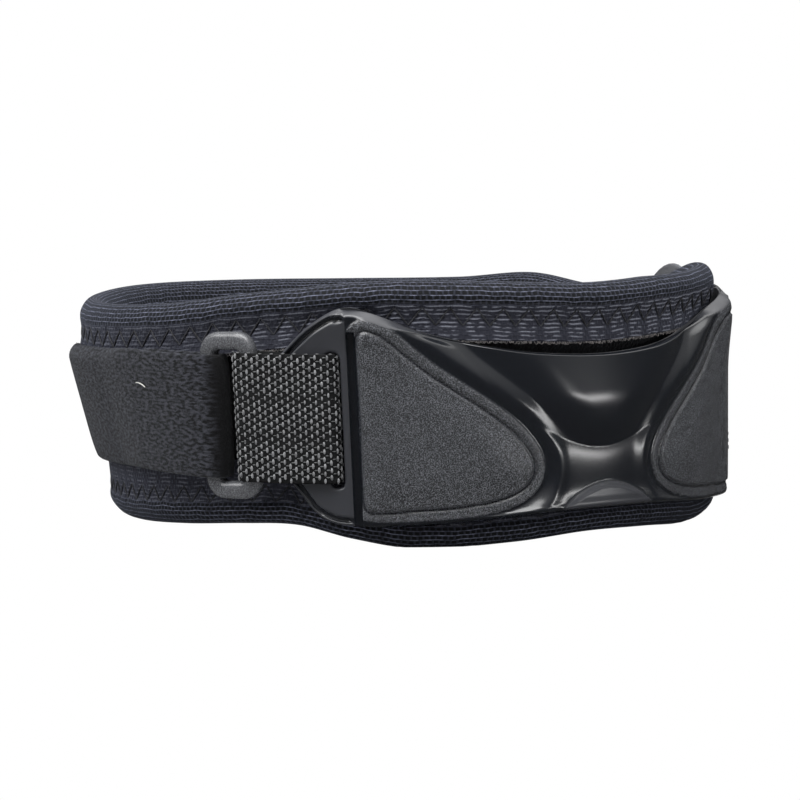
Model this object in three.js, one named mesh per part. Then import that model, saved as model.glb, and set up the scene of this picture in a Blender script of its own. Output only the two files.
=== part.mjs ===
// Patellar knee brace: a padded ring with a moulded plate in front. A woven loop at each end of the plate
// carries a rectangular ring, and a hook-and-loop strap runs round the back from one ring to the other.
// Millimetres, +Z up. The brace stands on its lower edge, the plate faces -Y, and the origin is at the
// middle of the loop on the surface that it stands on.
import * as THREE from "three";

// Driving dimensions
const GAP = 0.3; // clearance between neighbouring pieces
const PAD_THICKNESS = 8;
const COVER_WALL = 1.2;
const MID_HEIGHT = 25; // the height that the wall's flare turns about
const LOOP_SHIFT = { x: 1.72, y: 0.56 }; // puts the finished loop's box over the origin
const PAD_STEPS = 48; // sections round the padded ring

const PLATE_LIFT = { seat: GAP, end: 2.2, from: 34, to: 44 }; // clear of the pad, over these degrees
const PLATE_FLARE = { out: 1.2, from: 30, to: 40, low: 30, slotLow: 37.5, high: 47 }; // of its upper corners
const PLATE_WALL = { edge: 1.7, body: 2.5, frame: 1.9, bevel: 1.6 }; // thickness
const DOME = { height: 27, rise: 1.7, halfAngle: 15, halfHeight: 13 };
const PANEL_RISE = 1.1;
const PANEL_SHOULDER = 1.2; // width of the slope round a raised panel
const SLOT = { from: 44.1, to: 46.6 }; // degrees from the plate's middle
const GROOVE = { from: 41.8, to: 43.0, low: 8.0, high: 42.0, depth: 1.2 };
const CRESCENT = { halfAngle: 9.0, low: 7.0, high: 12.3, depth: 0.6 };

const RING = { angle: 64.2, width: 11.9, height: 32.4, thickness: 3.0, corner: 4.0, out: 3.9, level: 25.3 };
const RING_BARS = { upright: 3.3, end: 3.5, bevel: 0.8, innerCorner: 0.4 };
const RING_BOW = 0.2; // the flat ring's middle sits this much closer to the curved wall than its bars do
const WEBBING = { width: 24.8, thickness: 1.6, level: 25.3 };
const STRAP = { width: 23.2, thickness: 1.8, level: 25.0 };
const STRAP_REST = { out: 0.4, drop: 1.4, lean: 0.1 }; // along the left side and back
const TUCKED_END = 83; // degrees: the strap's end under itself at the left ring
const FREE_END = { angle: 89, slant: 40, corner: 6 }; // the loose end at the right ring, which lies askew

// The wall of the padded ring. angle is in degrees from the middle of the plate, + towards +X; reach is
// the pad's outer face from the loop's middle; bottom and top are its edges; flare is the outward lean per
// mm of height; bead and foot are how far the upper and lower rolled edges stand out beyond the outer face;
// swell is how far the upper hem stands out.
const WALL_COLUMNS = ["angle", "reach", "bottom", "top", "flare", "bead", "foot", "swell"];
const WALL_ROWS = [
  [-180, 65.0, 0.0, 45.4, 0.10, -0.8, -0.8, 0.20],
  [-152, 65.6, 0.0, 45.2, 0.14, -1.0, -1.5, 0.30],
  [-125, 66.0, 0.0, 44.5, 0.17, -1.3, -2.0, 0.35],
  [-100, 65.8, 0.7, 45.2, 0.14, -1.0, -1.8, 0.35],
  [-80, 65.4, 2.2, 46.7, 0.08, -0.4, -0.9, 0.30],
  [-65, 65.1, 3.6, 48.3, 0.04, 0.0, -0.2, 0.10],
  [-54, 65.0, 4.0, 49.7, 0.02, 0.6, 0.6, 0.00],
  [-44, 65.0, 1.8, 50.9, 0.00, 1.0, 1.0, 0.00],
  [-33, 65.0, 0.0, 51.4, 0.00, 1.0, 1.0, 0.00],
  [-15, 65.0, 0.7, 50.9, 0.00, 1.0, 1.0, 0.00],
  [0, 65.0, 1.8, 50.3, 0.00, 1.0, 1.0, 0.00],
  [15, 65.0, 1.3, 50.8, 0.00, 1.2, 0.8, 0.00],
  [33, 64.8, 0.0, 51.7, -0.02, 2.2, 0.6, 0.00],
  [42, 64.5, 1.2, 51.3, -0.02, 3.0, 2.0, 0.00],
  [48, 62.3, 2.6, 50.6, -0.02, 3.0, 3.0, 0.00],
  [56, 59.9, 4.0, 49.2, 0.00, 2.2, 2.2, 0.00],
  [66, 59.4, 3.9, 47.6, 0.02, 1.0, 1.0, 0.00],
  [80, 60.0, 3.0, 46.0, 0.04, 0.0, 0.0, 0.00],
  [98, 61.4, 1.4, 44.6, 0.05, -0.5, -0.5, 0.10],
  [115, 62.8, 0.0, 46.4, 0.08, -0.8, -0.8, 0.20],
  [132, 64.0, 0.0, 45.6, 0.09, -0.8, -0.8, 0.20],
  [155, 64.8, 0.0, 45.3, 0.10, -0.8, -0.8, 0.20],
];
const named = (names, row) => Object.fromEntries(names.map((name, i) => [name, row[i]]));
const WALL = WALL_ROWS.map((row) => named(WALL_COLUMNS, row));

// Half of the padded ring's section. out is from the nominal outer face; bead and swell are the row's share
// of the rolled edge's and the hem's standing out; edge is the distance from the lower or upper edge. Each
// list runs from the cover's hem on the outer face, round the rolled edge, to the inner face.
const LOWER_EDGE = [
  { out: -2.4, bead: 0.0, edge: 12.6 },
  { out: -1.7, bead: 0.3, edge: 5.8 },
  { out: -0.6, bead: 1.0, edge: 2.6 },
  { out: -2.4, bead: 1.0, edge: 0.0 },
  { out: -5.6, bead: 0.5, edge: 0.0 },
  { out: 0.3 - PAD_THICKNESS, bead: 0.0, edge: 2.4 },
  { out: -PAD_THICKNESS, bead: 0.0, edge: 8.0 },
];
const UPPER_EDGE = [
  { out: -0.4, bead: 0.0, swell: 1.0, edge: 11.5 },
  { out: -1.7, bead: 0.9, swell: 4.0, edge: 6.8 },
  { out: -0.6, bead: 1.0, swell: 0.0, edge: 2.8 },
  { out: -2.6, bead: 1.0, swell: 0.0, edge: 0.3 },
  { out: -5.4, bead: 0.5, swell: 0.0, edge: 0.3 },
  { out: 0.4 - PAD_THICKNESS, bead: 0.0, swell: 0.0, edge: 2.6 },
  { out: -PAD_THICKNESS, bead: 0.0, swell: 0.0, edge: 8.0 },
];
const BELLY = { out: -2.6, inset: 2.0 }; // the foam's plush face, pressed in between the two hems

// Outline of the plate on each side of its middle: height of its lower and upper edges by angle.
const PLATE_OUTLINE = [
  { angle: 0, bottom: 6.2, top: 36.7 },
  { angle: 12, bottom: 5.9, top: 37.4 },
  { angle: 20, bottom: 5.3, top: 38.7 },
  { angle: 28, bottom: 4.6, top: 40.5 },
  { angle: 33, bottom: 4.3, top: 42.1 },
  { angle: 38, bottom: 4.2, top: 44.5 },
  { angle: 41, bottom: 4.2, top: 46.0 },
  { angle: 43.5, bottom: 4.4, top: 46.8 },
  { angle: 46, bottom: 5.2, top: 45.9 },
  { angle: 49, bottom: 8.0, top: 43.1 },
  { angle: 52, bottom: 11.8, top: 40.3 },
  { angle: 55.5, bottom: 16.0, top: 37.0 },
];

// Rows of the plate's grid as a share of its height, with the rows that the strap slots open, and the
// angles of its columns on each side.
const PLATE_ROWS = [
  { share: 0.0, slot: false },
  { share: 0.045, slot: false },
  { share: 0.127, slot: true },
  { share: 0.22, slot: true },
  { share: 0.32, slot: true },
  { share: 0.42, slot: true },
  { share: 0.52, slot: true },
  { share: 0.62, slot: true },
  { share: 0.72, slot: true },
  { share: 0.825, slot: false },
  { share: 0.9, slot: false },
  { share: 0.96, slot: false },
  { share: 1.0, slot: false },
];
const PLATE_COLUMNS = [0, 3.5, 7, 10, 13, 16, 19, 22, 25, 28, 31, 34, 37, 39.3, 40.9].concat(
  [GROOVE.from - 0.1, GROOVE.from + 0.1, GROOVE.to - 0.1, GROOVE.to + 0.1],
  [SLOT.from, SLOT.to, 49, 52, 55.5],
);

// Control points of a wing's raised panel, on the +X side.
const PANEL_OUTLINE = [
  { angle: 41.4, height: 41.4 },
  { angle: 38.9, height: 41.6 },
  { angle: 32.3, height: 36.2 },
  { angle: 24.0, height: 29.2 },
  { angle: 16.7, height: 21.2 },
  { angle: 13.3, height: 14.4 },
  { angle: 15.8, height: 10.0 },
  { angle: 22.0, height: 8.4 },
  { angle: 32.0, height: 7.8 },
  { angle: 40.4, height: 7.9 },
  { angle: 41.6, height: 10.0 },
  { angle: 41.6, height: 25.0 },
];

// Materials, one for each piece
const finish = (color, roughness) => new THREE.MeshStandardMaterial({ color, roughness, metalness: 0 });
const KNIT = finish(0x1b1d26, 0.9);
const FOAM = finish(0x111114, 0.95);
const PLATE = finish(0x121316, 0.3);
const WOVEN = finish(0x2a2b2d, 0.75);
const PLASTIC = finish(0x3a3b3d, 0.5);
const PLUSH = finish(0x242628, 0.95);

const radians = THREE.MathUtils.degToRad;
const lerp = THREE.MathUtils.lerp;
const UNROLL = 67; // radius at which distance along the wall is measured
const along = (angle) => radians(angle) * UNROLL;

// Cubic interpolation of one column of a table in its angle column. A periodic table closes after 360
// degrees.
function column(table, name, angle, periodic) {
  const turns = periodic ? [-360, 0, 360] : [0];
  const rows = turns.flatMap((turn) => table.map((row) => ({ at: row.angle + turn, value: row[name] })));
  const next = rows.findIndex((row) => row.at > angle);
  const right = next === -1 ? rows.length - 1 : Math.max(next, 1);
  const [a, b] = [rows[right - 1], rows[right]];
  const slope = (p, q) => (q.value - p.value) / (q.at - p.at);
  const before = rows[right - 2] ? slope(rows[right - 2], b) : slope(a, b);
  const after = rows[right + 1] ? slope(a, rows[right + 1]) : slope(a, b);
  const span = b.at - a.at;
  const t = (angle - a.at) / span;
  const [t2, t3] = [t * t, t * t * t];
  return (
    (2 * t3 - 3 * t2 + 1) * a.value +
    (t3 - 2 * t2 + t) * span * before +
    (3 * t2 - 2 * t3) * b.value +
    (t3 - t2) * span * after
  );
}

function wallAt(angle) {
  const turned = THREE.MathUtils.euclideanModulo(angle + 180, 360) - 180;
  const value = (name) => column(WALL, name, turned, true);
  const wall = named(WALL_COLUMNS, WALL_COLUMNS.map(value));
  return { ...wall, bottom: Math.max(0, wall.bottom) };
}

// A point on or off the wall: out is from the pad's nominal outer face, and height is above the floor.
function wallPoint(angle, out, height) {
  const { reach, flare } = wallAt(angle);
  const radius = reach + out + flare * (height - MID_HEIGHT);
  const a = radians(angle);
  return new THREE.Vector3(radius * Math.sin(a) + LOOP_SHIFT.x, -radius * Math.cos(a) + LOOP_SHIFT.y, height);
}

// A closed surface through rings of points. A loop joins its last ring to its first, and other lofts get
// end caps.
function loft(rings, loop) {
  const size = rings[0].length;
  const index = [];
  const last = loop ? rings.length : rings.length - 1;
  for (let i = 0; i < last; i += 1) {
    const near = i * size;
    const far = ((i + 1) % rings.length) * size;
    for (let k = 0; k < size; k += 1) {
      const m = (k + 1) % size;
      index.push(near + k, far + k, far + m, near + k, far + m, near + m);
    }
  }
  if (!loop) {
    const end = (rings.length - 1) * size;
    for (let k = 1; k < size - 1; k += 1) {
      index.push(0, k, k + 1, end, end + k + 1, end + k);
    }
  }
  const geometry = new THREE.BufferGeometry().setFromPoints(rings.flat());
  geometry.setIndex(index);
  return geometry;
}

// Section of the padded ring, pulled in by a depth measured square to its outline
function padOutline(wall, depth) {
  const lowerOut = (row) => row.out + row.bead * wall.foot;
  const low = LOWER_EDGE.map((row) => new THREE.Vector2(lowerOut(row), wall.bottom + row.edge));
  const upperOut = (row) => row.out + row.bead * wall.bead + row.swell * wall.swell;
  const high = UPPER_EDGE.map((row) => new THREE.Vector2(upperOut(row), wall.top - row.edge)).reverse();
  const points = [...low, ...high];
  return points.map((point, i) => {
    const before = points[Math.max(i - 1, 0)];
    const after = points[Math.min(i + 1, points.length - 1)];
    const run = after.clone().sub(before).normalize();
    return new THREE.Vector2(point.x + run.y * depth, point.y - run.x * depth);
  });
}

function padRings(section) {
  return Array.from({ length: PAD_STEPS }, (_, i) => {
    const angle = -180 + (i * 360) / PAD_STEPS;
    return section(wallAt(angle)).map((p) => wallPoint(angle, p.x, p.y)).reverse();
  });
}

function knitCover() {
  const section = (wall) => [...padOutline(wall, 0), ...padOutline(wall, COVER_WALL).reverse()];
  return loft(padRings(section), true);
}

function foamCore() {
  const section = (wall) => {
    const inside = padOutline(wall, COVER_WALL + GAP);
    const lowHem = wall.bottom + LOWER_EDGE[0].edge + BELLY.inset;
    const highHem = wall.top - UPPER_EDGE[0].edge - BELLY.inset;
    return [...inside, new THREE.Vector2(BELLY.out, highHem), new THREE.Vector2(BELLY.out, lowHem)];
  };
  return loft(padRings(section), true);
}

// The plate's inner face, and the features of its outer face
function plateInner(angle, height) {
  const { smoothstep } = THREE.MathUtils;
  const away = Math.abs(angle);
  const lift = lerp(PLATE_LIFT.seat, PLATE_LIFT.end, smoothstep(away, PLATE_LIFT.from, PLATE_LIFT.to));
  const flareLow = lerp(PLATE_FLARE.low, PLATE_FLARE.slotLow, smoothstep(away, GROOVE.from - 1, GROOVE.to));
  const towardsEnd = smoothstep(away, PLATE_FLARE.from, PLATE_FLARE.to);
  return lift + PLATE_FLARE.out * towardsEnd * smoothstep(height, flareLow, PLATE_FLARE.high);
}

const panelCurve = new THREE.CatmullRomCurve3(
  PANEL_OUTLINE.map((row) => new THREE.Vector3(along(row.angle), row.height, 0)),
  true,
  "centripetal",
);
const panelBorder = panelCurve.getPoints(60);

// Distance inside the raised panel's border, negative outside it
function insidePanel(angle, height) {
  const here = new THREE.Vector3(along(Math.abs(angle)), height, 0);
  let nearest = Infinity;
  let inside = false;
  for (let i = 0; i + 1 < panelBorder.length; i += 1) {
    const [p, q] = [panelBorder[i], panelBorder[i + 1]];
    const foot = new THREE.Line3(p, q).closestPointToPoint(here, true, new THREE.Vector3());
    nearest = Math.min(nearest, foot.distanceTo(here));
    const crosses = p.y > here.y !== q.y > here.y;
    if (crosses && here.x < p.x + ((here.y - p.y) / (q.y - p.y)) * (q.x - p.x)) inside = !inside;
  }
  return inside ? nearest : -nearest;
}

function plateOuter(angle, height, fromEdge) {
  const away = Math.abs(angle);
  const edge = THREE.MathUtils.smoothstep(fromEdge, 0, PLATE_WALL.bevel);
  const across = angle / DOME.halfAngle;
  const up = (height - DOME.height) / DOME.halfHeight;
  const dome = DOME.rise * Math.exp(-across * across - up * up);
  const panel = PANEL_RISE * THREE.MathUtils.smoothstep(insidePanel(angle, height), -0.2, PANEL_SHOULDER);
  const inGroove = away > GROOVE.from && away < GROOVE.to && height > GROOVE.low && height < GROOVE.high;
  const bow = 1 - (away / CRESCENT.halfAngle) ** 2;
  const inCrescent = height > CRESCENT.low && height < lerp(CRESCENT.low, CRESCENT.high, bow);
  const sunk = (inGroove ? GROOVE.depth : 0) + (inCrescent && fromEdge > 0 ? CRESCENT.depth : 0);
  const body = away > GROOVE.to ? PLATE_WALL.frame : PLATE_WALL.body;
  return plateInner(angle, height) + lerp(PLATE_WALL.edge, body, edge) + dome * edge + panel - sunk;
}

// The plate is a grid of columns and rows, with the cells of the two strap slots left open.
function frontPlate() {
  const angles = [...PLATE_COLUMNS.slice(1).map((angle) => -angle).reverse(), ...PLATE_COLUMNS];
  const shares = PLATE_ROWS.map((row) => row.share);
  const points = [];
  for (const angle of angles) {
    const low = column(PLATE_OUTLINE, "bottom", Math.abs(angle), false);
    const high = column(PLATE_OUTLINE, "top", Math.abs(angle), false);
    const heights = shares.map((share) => lerp(low, high, share));
    const outerAt = (z) => plateOuter(angle, z, Math.min(z - low, high - z));
    points.push(...heights.map((z) => wallPoint(angle, outerAt(z), z)));
    points.push(...heights.map((z) => wallPoint(angle, plateInner(angle, z), z)));
  }
  const rows = shares.length;
  const outer = (i, k) => i * 2 * rows + k;
  const inner = (i, k) => outer(i, k) + rows;
  const solidCell = (i, k) => {
    if (i < 0 || k < 0 || i + 1 >= angles.length || k + 1 >= rows) return false;
    const middle = Math.abs(angles[i] + angles[i + 1]) / 2;
    const inSlot = middle > SLOT.from && middle < SLOT.to && PLATE_ROWS[k].slot;
    return !inSlot;
  };
  const index = [];
  const quad = (a, b, c, d) => index.push(a, b, c, a, c, d);
  const wall = (i, k, m, n) => quad(outer(i, k), inner(i, k), inner(m, n), outer(m, n));
  for (let i = 0; i + 1 < angles.length; i += 1) {
    for (let k = 0; k + 1 < rows; k += 1) {
      if (!solidCell(i, k)) continue;
      quad(outer(i, k), outer(i + 1, k), outer(i + 1, k + 1), outer(i, k + 1));
      quad(inner(i, k), inner(i, k + 1), inner(i + 1, k + 1), inner(i + 1, k));
      if (!solidCell(i - 1, k)) wall(i, k + 1, i, k);
      if (!solidCell(i + 1, k)) wall(i + 1, k, i + 1, k + 1);
      if (!solidCell(i, k - 1)) wall(i, k, i + 1, k);
      if (!solidCell(i, k + 1)) wall(i + 1, k + 1, i, k + 1);
    }
  }
  const used = [...new Set(index)];
  const renumber = new Map(used.map((old, fresh) => [old, fresh]));
  const geometry = new THREE.BufferGeometry().setFromPoints(used.map((old) => points[old]));
  geometry.setIndex(index.map((old) => renumber.get(old)));
  return geometry;
}

// A flat band follows a route of corners, each rounded. A corner has x, the distance along the wall from
// the plate's middle; out, the distance from the pad; rise, the change of the band's level; and lean,
// beyond the wall's own.
const corner = (x, out, rise = 0, lean = 0) => new THREE.Vector4(x, out, rise, lean);
const between = (a, b, t) => a.clone().lerp(b, t);
const apart = (a, b) => a.clone().sub(b).length();

function roundedRoute(corners, closed, radius) {
  const count = corners.length;
  return corners.flatMap((here, i) => {
    if (!closed && (i === 0 || i === count - 1)) return [here];
    const before = corners[(i - 1 + count) % count];
    const after = corners[(i + 1) % count];
    const start = between(here, before, Math.min(radius / apart(here, before), 0.5));
    const end = between(here, after, Math.min(radius / apart(here, after), 0.5));
    const shares = [0, 1 / 3, 2 / 3, 1];
    return shares.map((t) => between(between(start, here, t), between(here, end, t), t));
  });
}

// Adds points to a route so that no step is longer than the pad's own sections
function stepped(route, closed) {
  const longest = along(360 / PAD_STEPS);
  return route.flatMap((here, i) => {
    if (!closed && i === route.length - 1) return [here];
    const next = route[(i + 1) % route.length];
    const parts = Math.max(1, Math.ceil(Math.abs(next.x - here.x) / longest));
    return Array.from({ length: parts }, (_, k) => between(here, next, k / parts));
  });
}

// Closer steps towards a rounded end
function eased(route, radius) {
  const [before, end] = route.slice(-2);
  const share = radius / apart(before, end);
  const steps = [1, 0.7, 0.42, 0.2, 0.06].map((part) => between(end, before, part * share));
  return [...route.slice(0, -1), ...steps, end];
}

function band(route, closed, { width, thickness, level }, endCorner = 0) {
  const rings = route.map((here, i) => {
    const cut = endCorner - Math.min(endCorner, apart(here, route[route.length - 1]));
    const half = width / 2 - endCorner + Math.sqrt(endCorner ** 2 - cut ** 2);
    const count = route.length;
    const before = closed ? route[(i - 1 + count) % count] : route[Math.max(i - 1, 0)];
    const after = closed ? route[(i + 1) % count] : route[Math.min(i + 1, count - 1)];
    const run = new THREE.Vector2(after.x - before.x, after.y - before.y).normalize();
    const side = new THREE.Vector2(-run.y, run.x).multiplyScalar(thickness / 2);
    const slant = Math.atan2(after.z - before.z, Math.max(Math.abs(after.x - before.x), 1e-6));
    const at = (face, across) => {
      const x = here.x + face * side.x - across * Math.sin(slant) * Math.sign(run.x);
      const height = across * Math.cos(slant);
      const angle = THREE.MathUtils.radToDeg(x / UNROLL);
      return wallPoint(angle, here.y + face * side.y + here.w * height, level + here.z + height);
    };
    return [at(-1, -half), at(1, -half), at(1, half), at(-1, half)];
  });
  return loft(rings, closed);
}

// Where the bands turn round the ring's two bars and the plate's end bar
const BAR_OFFSET = RING.width / 2 - RING_BARS.upright / 2;
function turnRound(thickness) {
  return { out: RING.thickness / 2 + GAP + thickness / 2, past: RING_BARS.upright / 2 + GAP + thickness / 2 };
}

function webbingLoop(side) {
  const turn = turnRound(WEBBING.thickness);
  const ringBar = along(RING.angle) - BAR_OFFSET;
  const ringEnd = ringBar + turn.past;
  const slotEnd = along(SLOT.to) - GAP - WEBBING.thickness / 2;
  const overPlate = PLATE_LIFT.end + PLATE_WALL.frame + GAP + WEBBING.thickness / 2 + 0.1;
  const underPlate = PLATE_LIFT.end - GAP - WEBBING.thickness / 2;
  const corners = [
    corner(side * ringEnd, RING.out + turn.out),
    corner(side * (ringBar - RING_BARS.upright), RING.out + turn.out),
    corner(side * slotEnd, overPlate),
    corner(side * slotEnd, underPlate),
    corner(side * ringEnd, RING.out - turn.out),
  ];
  if (side > 0) corners.reverse();
  return band(stepped(roundedRoute(corners, true, 1.9), true), true, WEBBING);
}

// The strap starts tucked under itself at the left ring, turns round that ring's bar, lies along the left
// side and the back, and turns round the right ring's bar to its free end. Distances run on past the back
// to the right.
function fasteningStrap() {
  const turn = turnRound(STRAP.thickness);
  const [base, top] = [RING.out - turn.out, RING.out + turn.out];
  const { out: rest, drop, lean } = STRAP_REST;
  const over = base + STRAP.thickness + GAP;
  const ringBar = along(RING.angle) + BAR_OFFSET;
  const pastBar = ringBar - turn.past;
  const right = (x) => x - along(360);
  const loose = along(FREE_END.angle) - ringBar;
  const rise = (x) => x * Math.tan(radians(FREE_END.slant));
  const corners = [
    corner(-along(TUCKED_END), base),
    corner(-pastBar, base),
    corner(-pastBar, top),
    corner(-ringBar - 2, top),
    corner(-along(TUCKED_END) - 2, over),
    corner(-along(TUCKED_END + 12), rest, -drop / 2, lean),
    corner(-along(TUCKED_END + 35), rest, -drop, lean),
    corner(-along(160), rest, -drop, lean),
    corner(right(along(120)), rest + 0.3, 0, lean * 0.5),
    corner(right(along(FREE_END.angle + 16)), base),
    corner(right(pastBar), base),
    corner(right(pastBar), top),
    corner(right(ringBar + 3), top + 0.2),
    corner(right(ringBar + 10), top, rise(7)),
    corner(right(ringBar + loose), over + 1, rise(loose - 3)),
  ];
  const route = eased(stepped(roundedRoute(corners, false, 2.2), false), FREE_END.corner);
  return band(route, false, STRAP, FREE_END.corner);
}

function rectangularRing() {
  const { width, height, thickness, corner: round } = RING;
  const { upright: bar, end, bevel, innerCorner } = RING_BARS;
  const rounded = (shape, w, h, r) => {
    shape.moveTo(-w / 2 + r, -h / 2);
    shape.lineTo(w / 2 - r, -h / 2).absarc(w / 2 - r, -h / 2 + r, r, -Math.PI / 2, 0);
    shape.lineTo(w / 2, h / 2 - r).absarc(w / 2 - r, h / 2 - r, r, 0, Math.PI / 2);
    shape.lineTo(-w / 2 + r, h / 2).absarc(-w / 2 + r, h / 2 - r, r, Math.PI / 2, Math.PI);
    shape.lineTo(-w / 2, -h / 2 + r).absarc(-w / 2 + r, -h / 2 + r, r, Math.PI, Math.PI * 1.5);
    return shape;
  };
  const outline = rounded(new THREE.Shape(), width - 2 * bevel, height - 2 * bevel, round - bevel);
  const opening = { width: width - 2 * bar + 2 * bevel, height: height - 2 * end + 2 * bevel };
  const hole = rounded(new THREE.Path(), opening.width, opening.height, innerCorner + bevel);
  outline.holes.push(hole);
  const depth = thickness - 2 * bevel;
  const settings = { depth, bevelEnabled: true, bevelThickness: bevel, bevelSize: bevel, bevelSegments: 1 };
  return new THREE.ExtrudeGeometry(outline, { ...settings, curveSegments: 4 }).translate(0, 0, -depth / 2);
}

// A group whose +Z looks out of the wall and whose +Y goes up it
function onWall(angle, out, height) {
  const group = new THREE.Group();
  group.position.copy(wallPoint(angle, out, height));
  const across = wallPoint(angle + 2, out, height).sub(wallPoint(angle - 2, out, height)).normalize();
  const rise = wallPoint(angle, out, height + 2).sub(wallPoint(angle, out, height - 2));
  const up = rise.addScaledVector(across, -rise.dot(across)).normalize();
  const facing = new THREE.Vector3().crossVectors(across, up);
  group.quaternion.setFromRotationMatrix(new THREE.Matrix4().makeBasis(across, up, facing));
  return group;
}

function piece(name, geometry, material) {
  const mesh = new THREE.Mesh(geometry, material);
  mesh.name = name;
  return mesh;
}

const brace = new THREE.Group();
brace.add(piece("knit_cover", knitCover(), KNIT));
brace.add(piece("foam_core", foamCore(), FOAM));
brace.add(piece("front_plate", frontPlate(), PLATE));
brace.add(piece("fastening_strap", fasteningStrap(), PLUSH));
for (const [name, side] of [["left", -1], ["right", 1]]) {
  brace.add(piece(`webbing_${name}`, webbingLoop(side), WOVEN));
  const seat = onWall(side * RING.angle, RING.out - RING_BOW, RING.level);
  seat.add(piece(`ring_${name}`, rectangularRing(), PLASTIC));
  brace.add(seat);
}

export default brace;
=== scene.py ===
"""Looks of a patellar knee brace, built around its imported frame.

A padded ring in knitted mesh carries a moulded plate in front. A woven loop at each end of the plate holds a
rectangular ring, and a hook-and-loop strap runs round the back from one ring to the other. Sizes are in
millimetres and become metres where a mesh is made.
"""
import logging
import math
from dataclasses import dataclass
from enum import Enum
from typing import Any, Callable

import bpy
import numpy as np
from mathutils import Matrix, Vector


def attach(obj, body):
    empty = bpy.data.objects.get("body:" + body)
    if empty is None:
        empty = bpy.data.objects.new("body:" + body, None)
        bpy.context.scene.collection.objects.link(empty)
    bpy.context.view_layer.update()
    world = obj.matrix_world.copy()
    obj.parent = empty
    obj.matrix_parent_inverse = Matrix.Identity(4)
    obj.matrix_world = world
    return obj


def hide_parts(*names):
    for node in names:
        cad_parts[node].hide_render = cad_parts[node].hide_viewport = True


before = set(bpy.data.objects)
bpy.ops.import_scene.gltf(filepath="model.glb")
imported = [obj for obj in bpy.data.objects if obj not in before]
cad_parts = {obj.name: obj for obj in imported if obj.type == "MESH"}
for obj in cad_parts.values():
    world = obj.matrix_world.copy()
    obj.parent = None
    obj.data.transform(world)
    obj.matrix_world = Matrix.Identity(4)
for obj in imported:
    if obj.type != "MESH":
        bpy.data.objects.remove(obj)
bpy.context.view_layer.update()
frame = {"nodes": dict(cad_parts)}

LOG = logging.getLogger("knee_brace")
MM = 0.001
BODY = "root"
UV_MAP = "wall"
Array = np.ndarray
Mark = Callable[[Array], Array]
Node = bpy.types.Node
Socket = bpy.types.NodeSocket
Tree = bpy.types.NodeTree
Material = bpy.types.Material
Piece = bpy.types.Object
# The commonest kinds of node, and the settings of a map range that eases and of a mix of colours
MATH = "ShaderNodeMath"
VECTOR_MATH = "ShaderNodeVectorMath"
MAP_RANGE = "ShaderNodeMapRange"
NOISE = "ShaderNodeTexNoise"
MIX = "ShaderNodeMix"
EASED = {"interpolation_type": "SMOOTHSTEP"}
COLOUR = {"data_type": "RGBA"}


class Slot(Enum):
    """The record's material slots."""

    KNIT = "mesh_knit"
    FOAM = "plush_foam"
    PLATE = "moulded_plate"
    STRAP = "loop_pile_strap"
    WEBBING = "woven_webbing"
    RING = "ring_plastic"


class Side(Enum):
    """The two ends of the plate, with the sign of their angle."""

    LEFT = -1
    RIGHT = 1


# Small shared tools


def linear(hex_code: str) -> tuple[float, float, float, float]:
    """Turns an sRGB hex colour to linear light.

    Args:
        hex_code: six hexadecimal digits.

    Returns:
        Red, green, blue and an alpha of one.
    """
    parts = [int(hex_code[i : i + 2], 16) / 255 for i in (0, 2, 4)]
    light = [c / 12.92 if c <= 0.04045 else ((c + 0.055) / 1.055) ** 2.4 for c in parts]
    return (light[0], light[1], light[2], 1.0)


def add_node(tree: Tree, kind: str, links: dict | None = None, **settings: Any) -> Node:
    """Adds one node with its settings, and sets or links its inputs.

    Args:
        tree: the node tree to add to.
        kind: the node's type name.
        links: input name or number, to a value or to what feeds it: a socket, or a node's first open output.
        settings: the node's own properties.

    Returns:
        The new node.
    """
    node = tree.nodes.new(kind)
    for name, value in settings.items():
        setattr(node, name, value)
    for key, value in (links or {}).items():
        if isinstance(value, Node):
            value = next(output for output in value.outputs if output.enabled)
        if isinstance(value, Socket):
            tree.links.new(value, node.inputs[key])
        else:
            node.inputs[key].default_value = value
    return node


def smoothstep(x: Array, low: float, high: float) -> Array:
    """Rises smoothly from 0 at low to 1 at high."""
    t = np.clip((x - low) / (high - low), 0, 1)
    return t * t * (3 - 2 * t)


def quarter(t: Array) -> Array:
    """Rises like a quarter circle from 0 at 0 to 1 at 1, and stays there."""
    return np.sqrt(1 - (1 - np.clip(t, 0, 1)) ** 2)


def bump(x: Array, middle: float, spread: float) -> Array:
    """A bell of height one about a middle."""
    return np.exp(-(((x - middle) / spread) ** 2))


def hermite(at: Array, values: Array, x: Array) -> Array:
    """Cubic interpolation of a table with finite-difference slopes.

    Args:
        at: the rows' places, rising.
        values: a row of values for each place, of any shape.
        x: where to read the table.

    Returns:
        The values at x, one row for each.
    """
    spread = (-1,) + (1,) * (values.ndim - 1)
    gaps = (at[2:] - at[:-2]).reshape(spread)
    first = (values[1] - values[0]) / (at[1] - at[0])
    last = (values[-1] - values[-2]) / (at[-1] - at[-2])
    slopes = np.concatenate([first[None], (values[2:] - values[:-2]) / gaps, last[None]])
    right = np.clip(np.searchsorted(at, x, side="right"), 1, len(at) - 1)
    span = (at[right] - at[right - 1]).reshape(spread)
    t = ((x - at[right - 1]) / (at[right] - at[right - 1])).reshape(spread)
    near = (2 * t**3 - 3 * t**2 + 1) * values[right - 1] + (t**3 - 2 * t**2 + t) * span * slopes[right - 1]
    return near + (3 * t**2 - 2 * t**3) * values[right] + (t**3 - t**2) * span * slopes[right]


def unit(v: Array) -> Array:
    """Vectors of length one."""
    return v / np.maximum(np.linalg.norm(v, axis=-1, keepdims=True), 1e-12)


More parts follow.
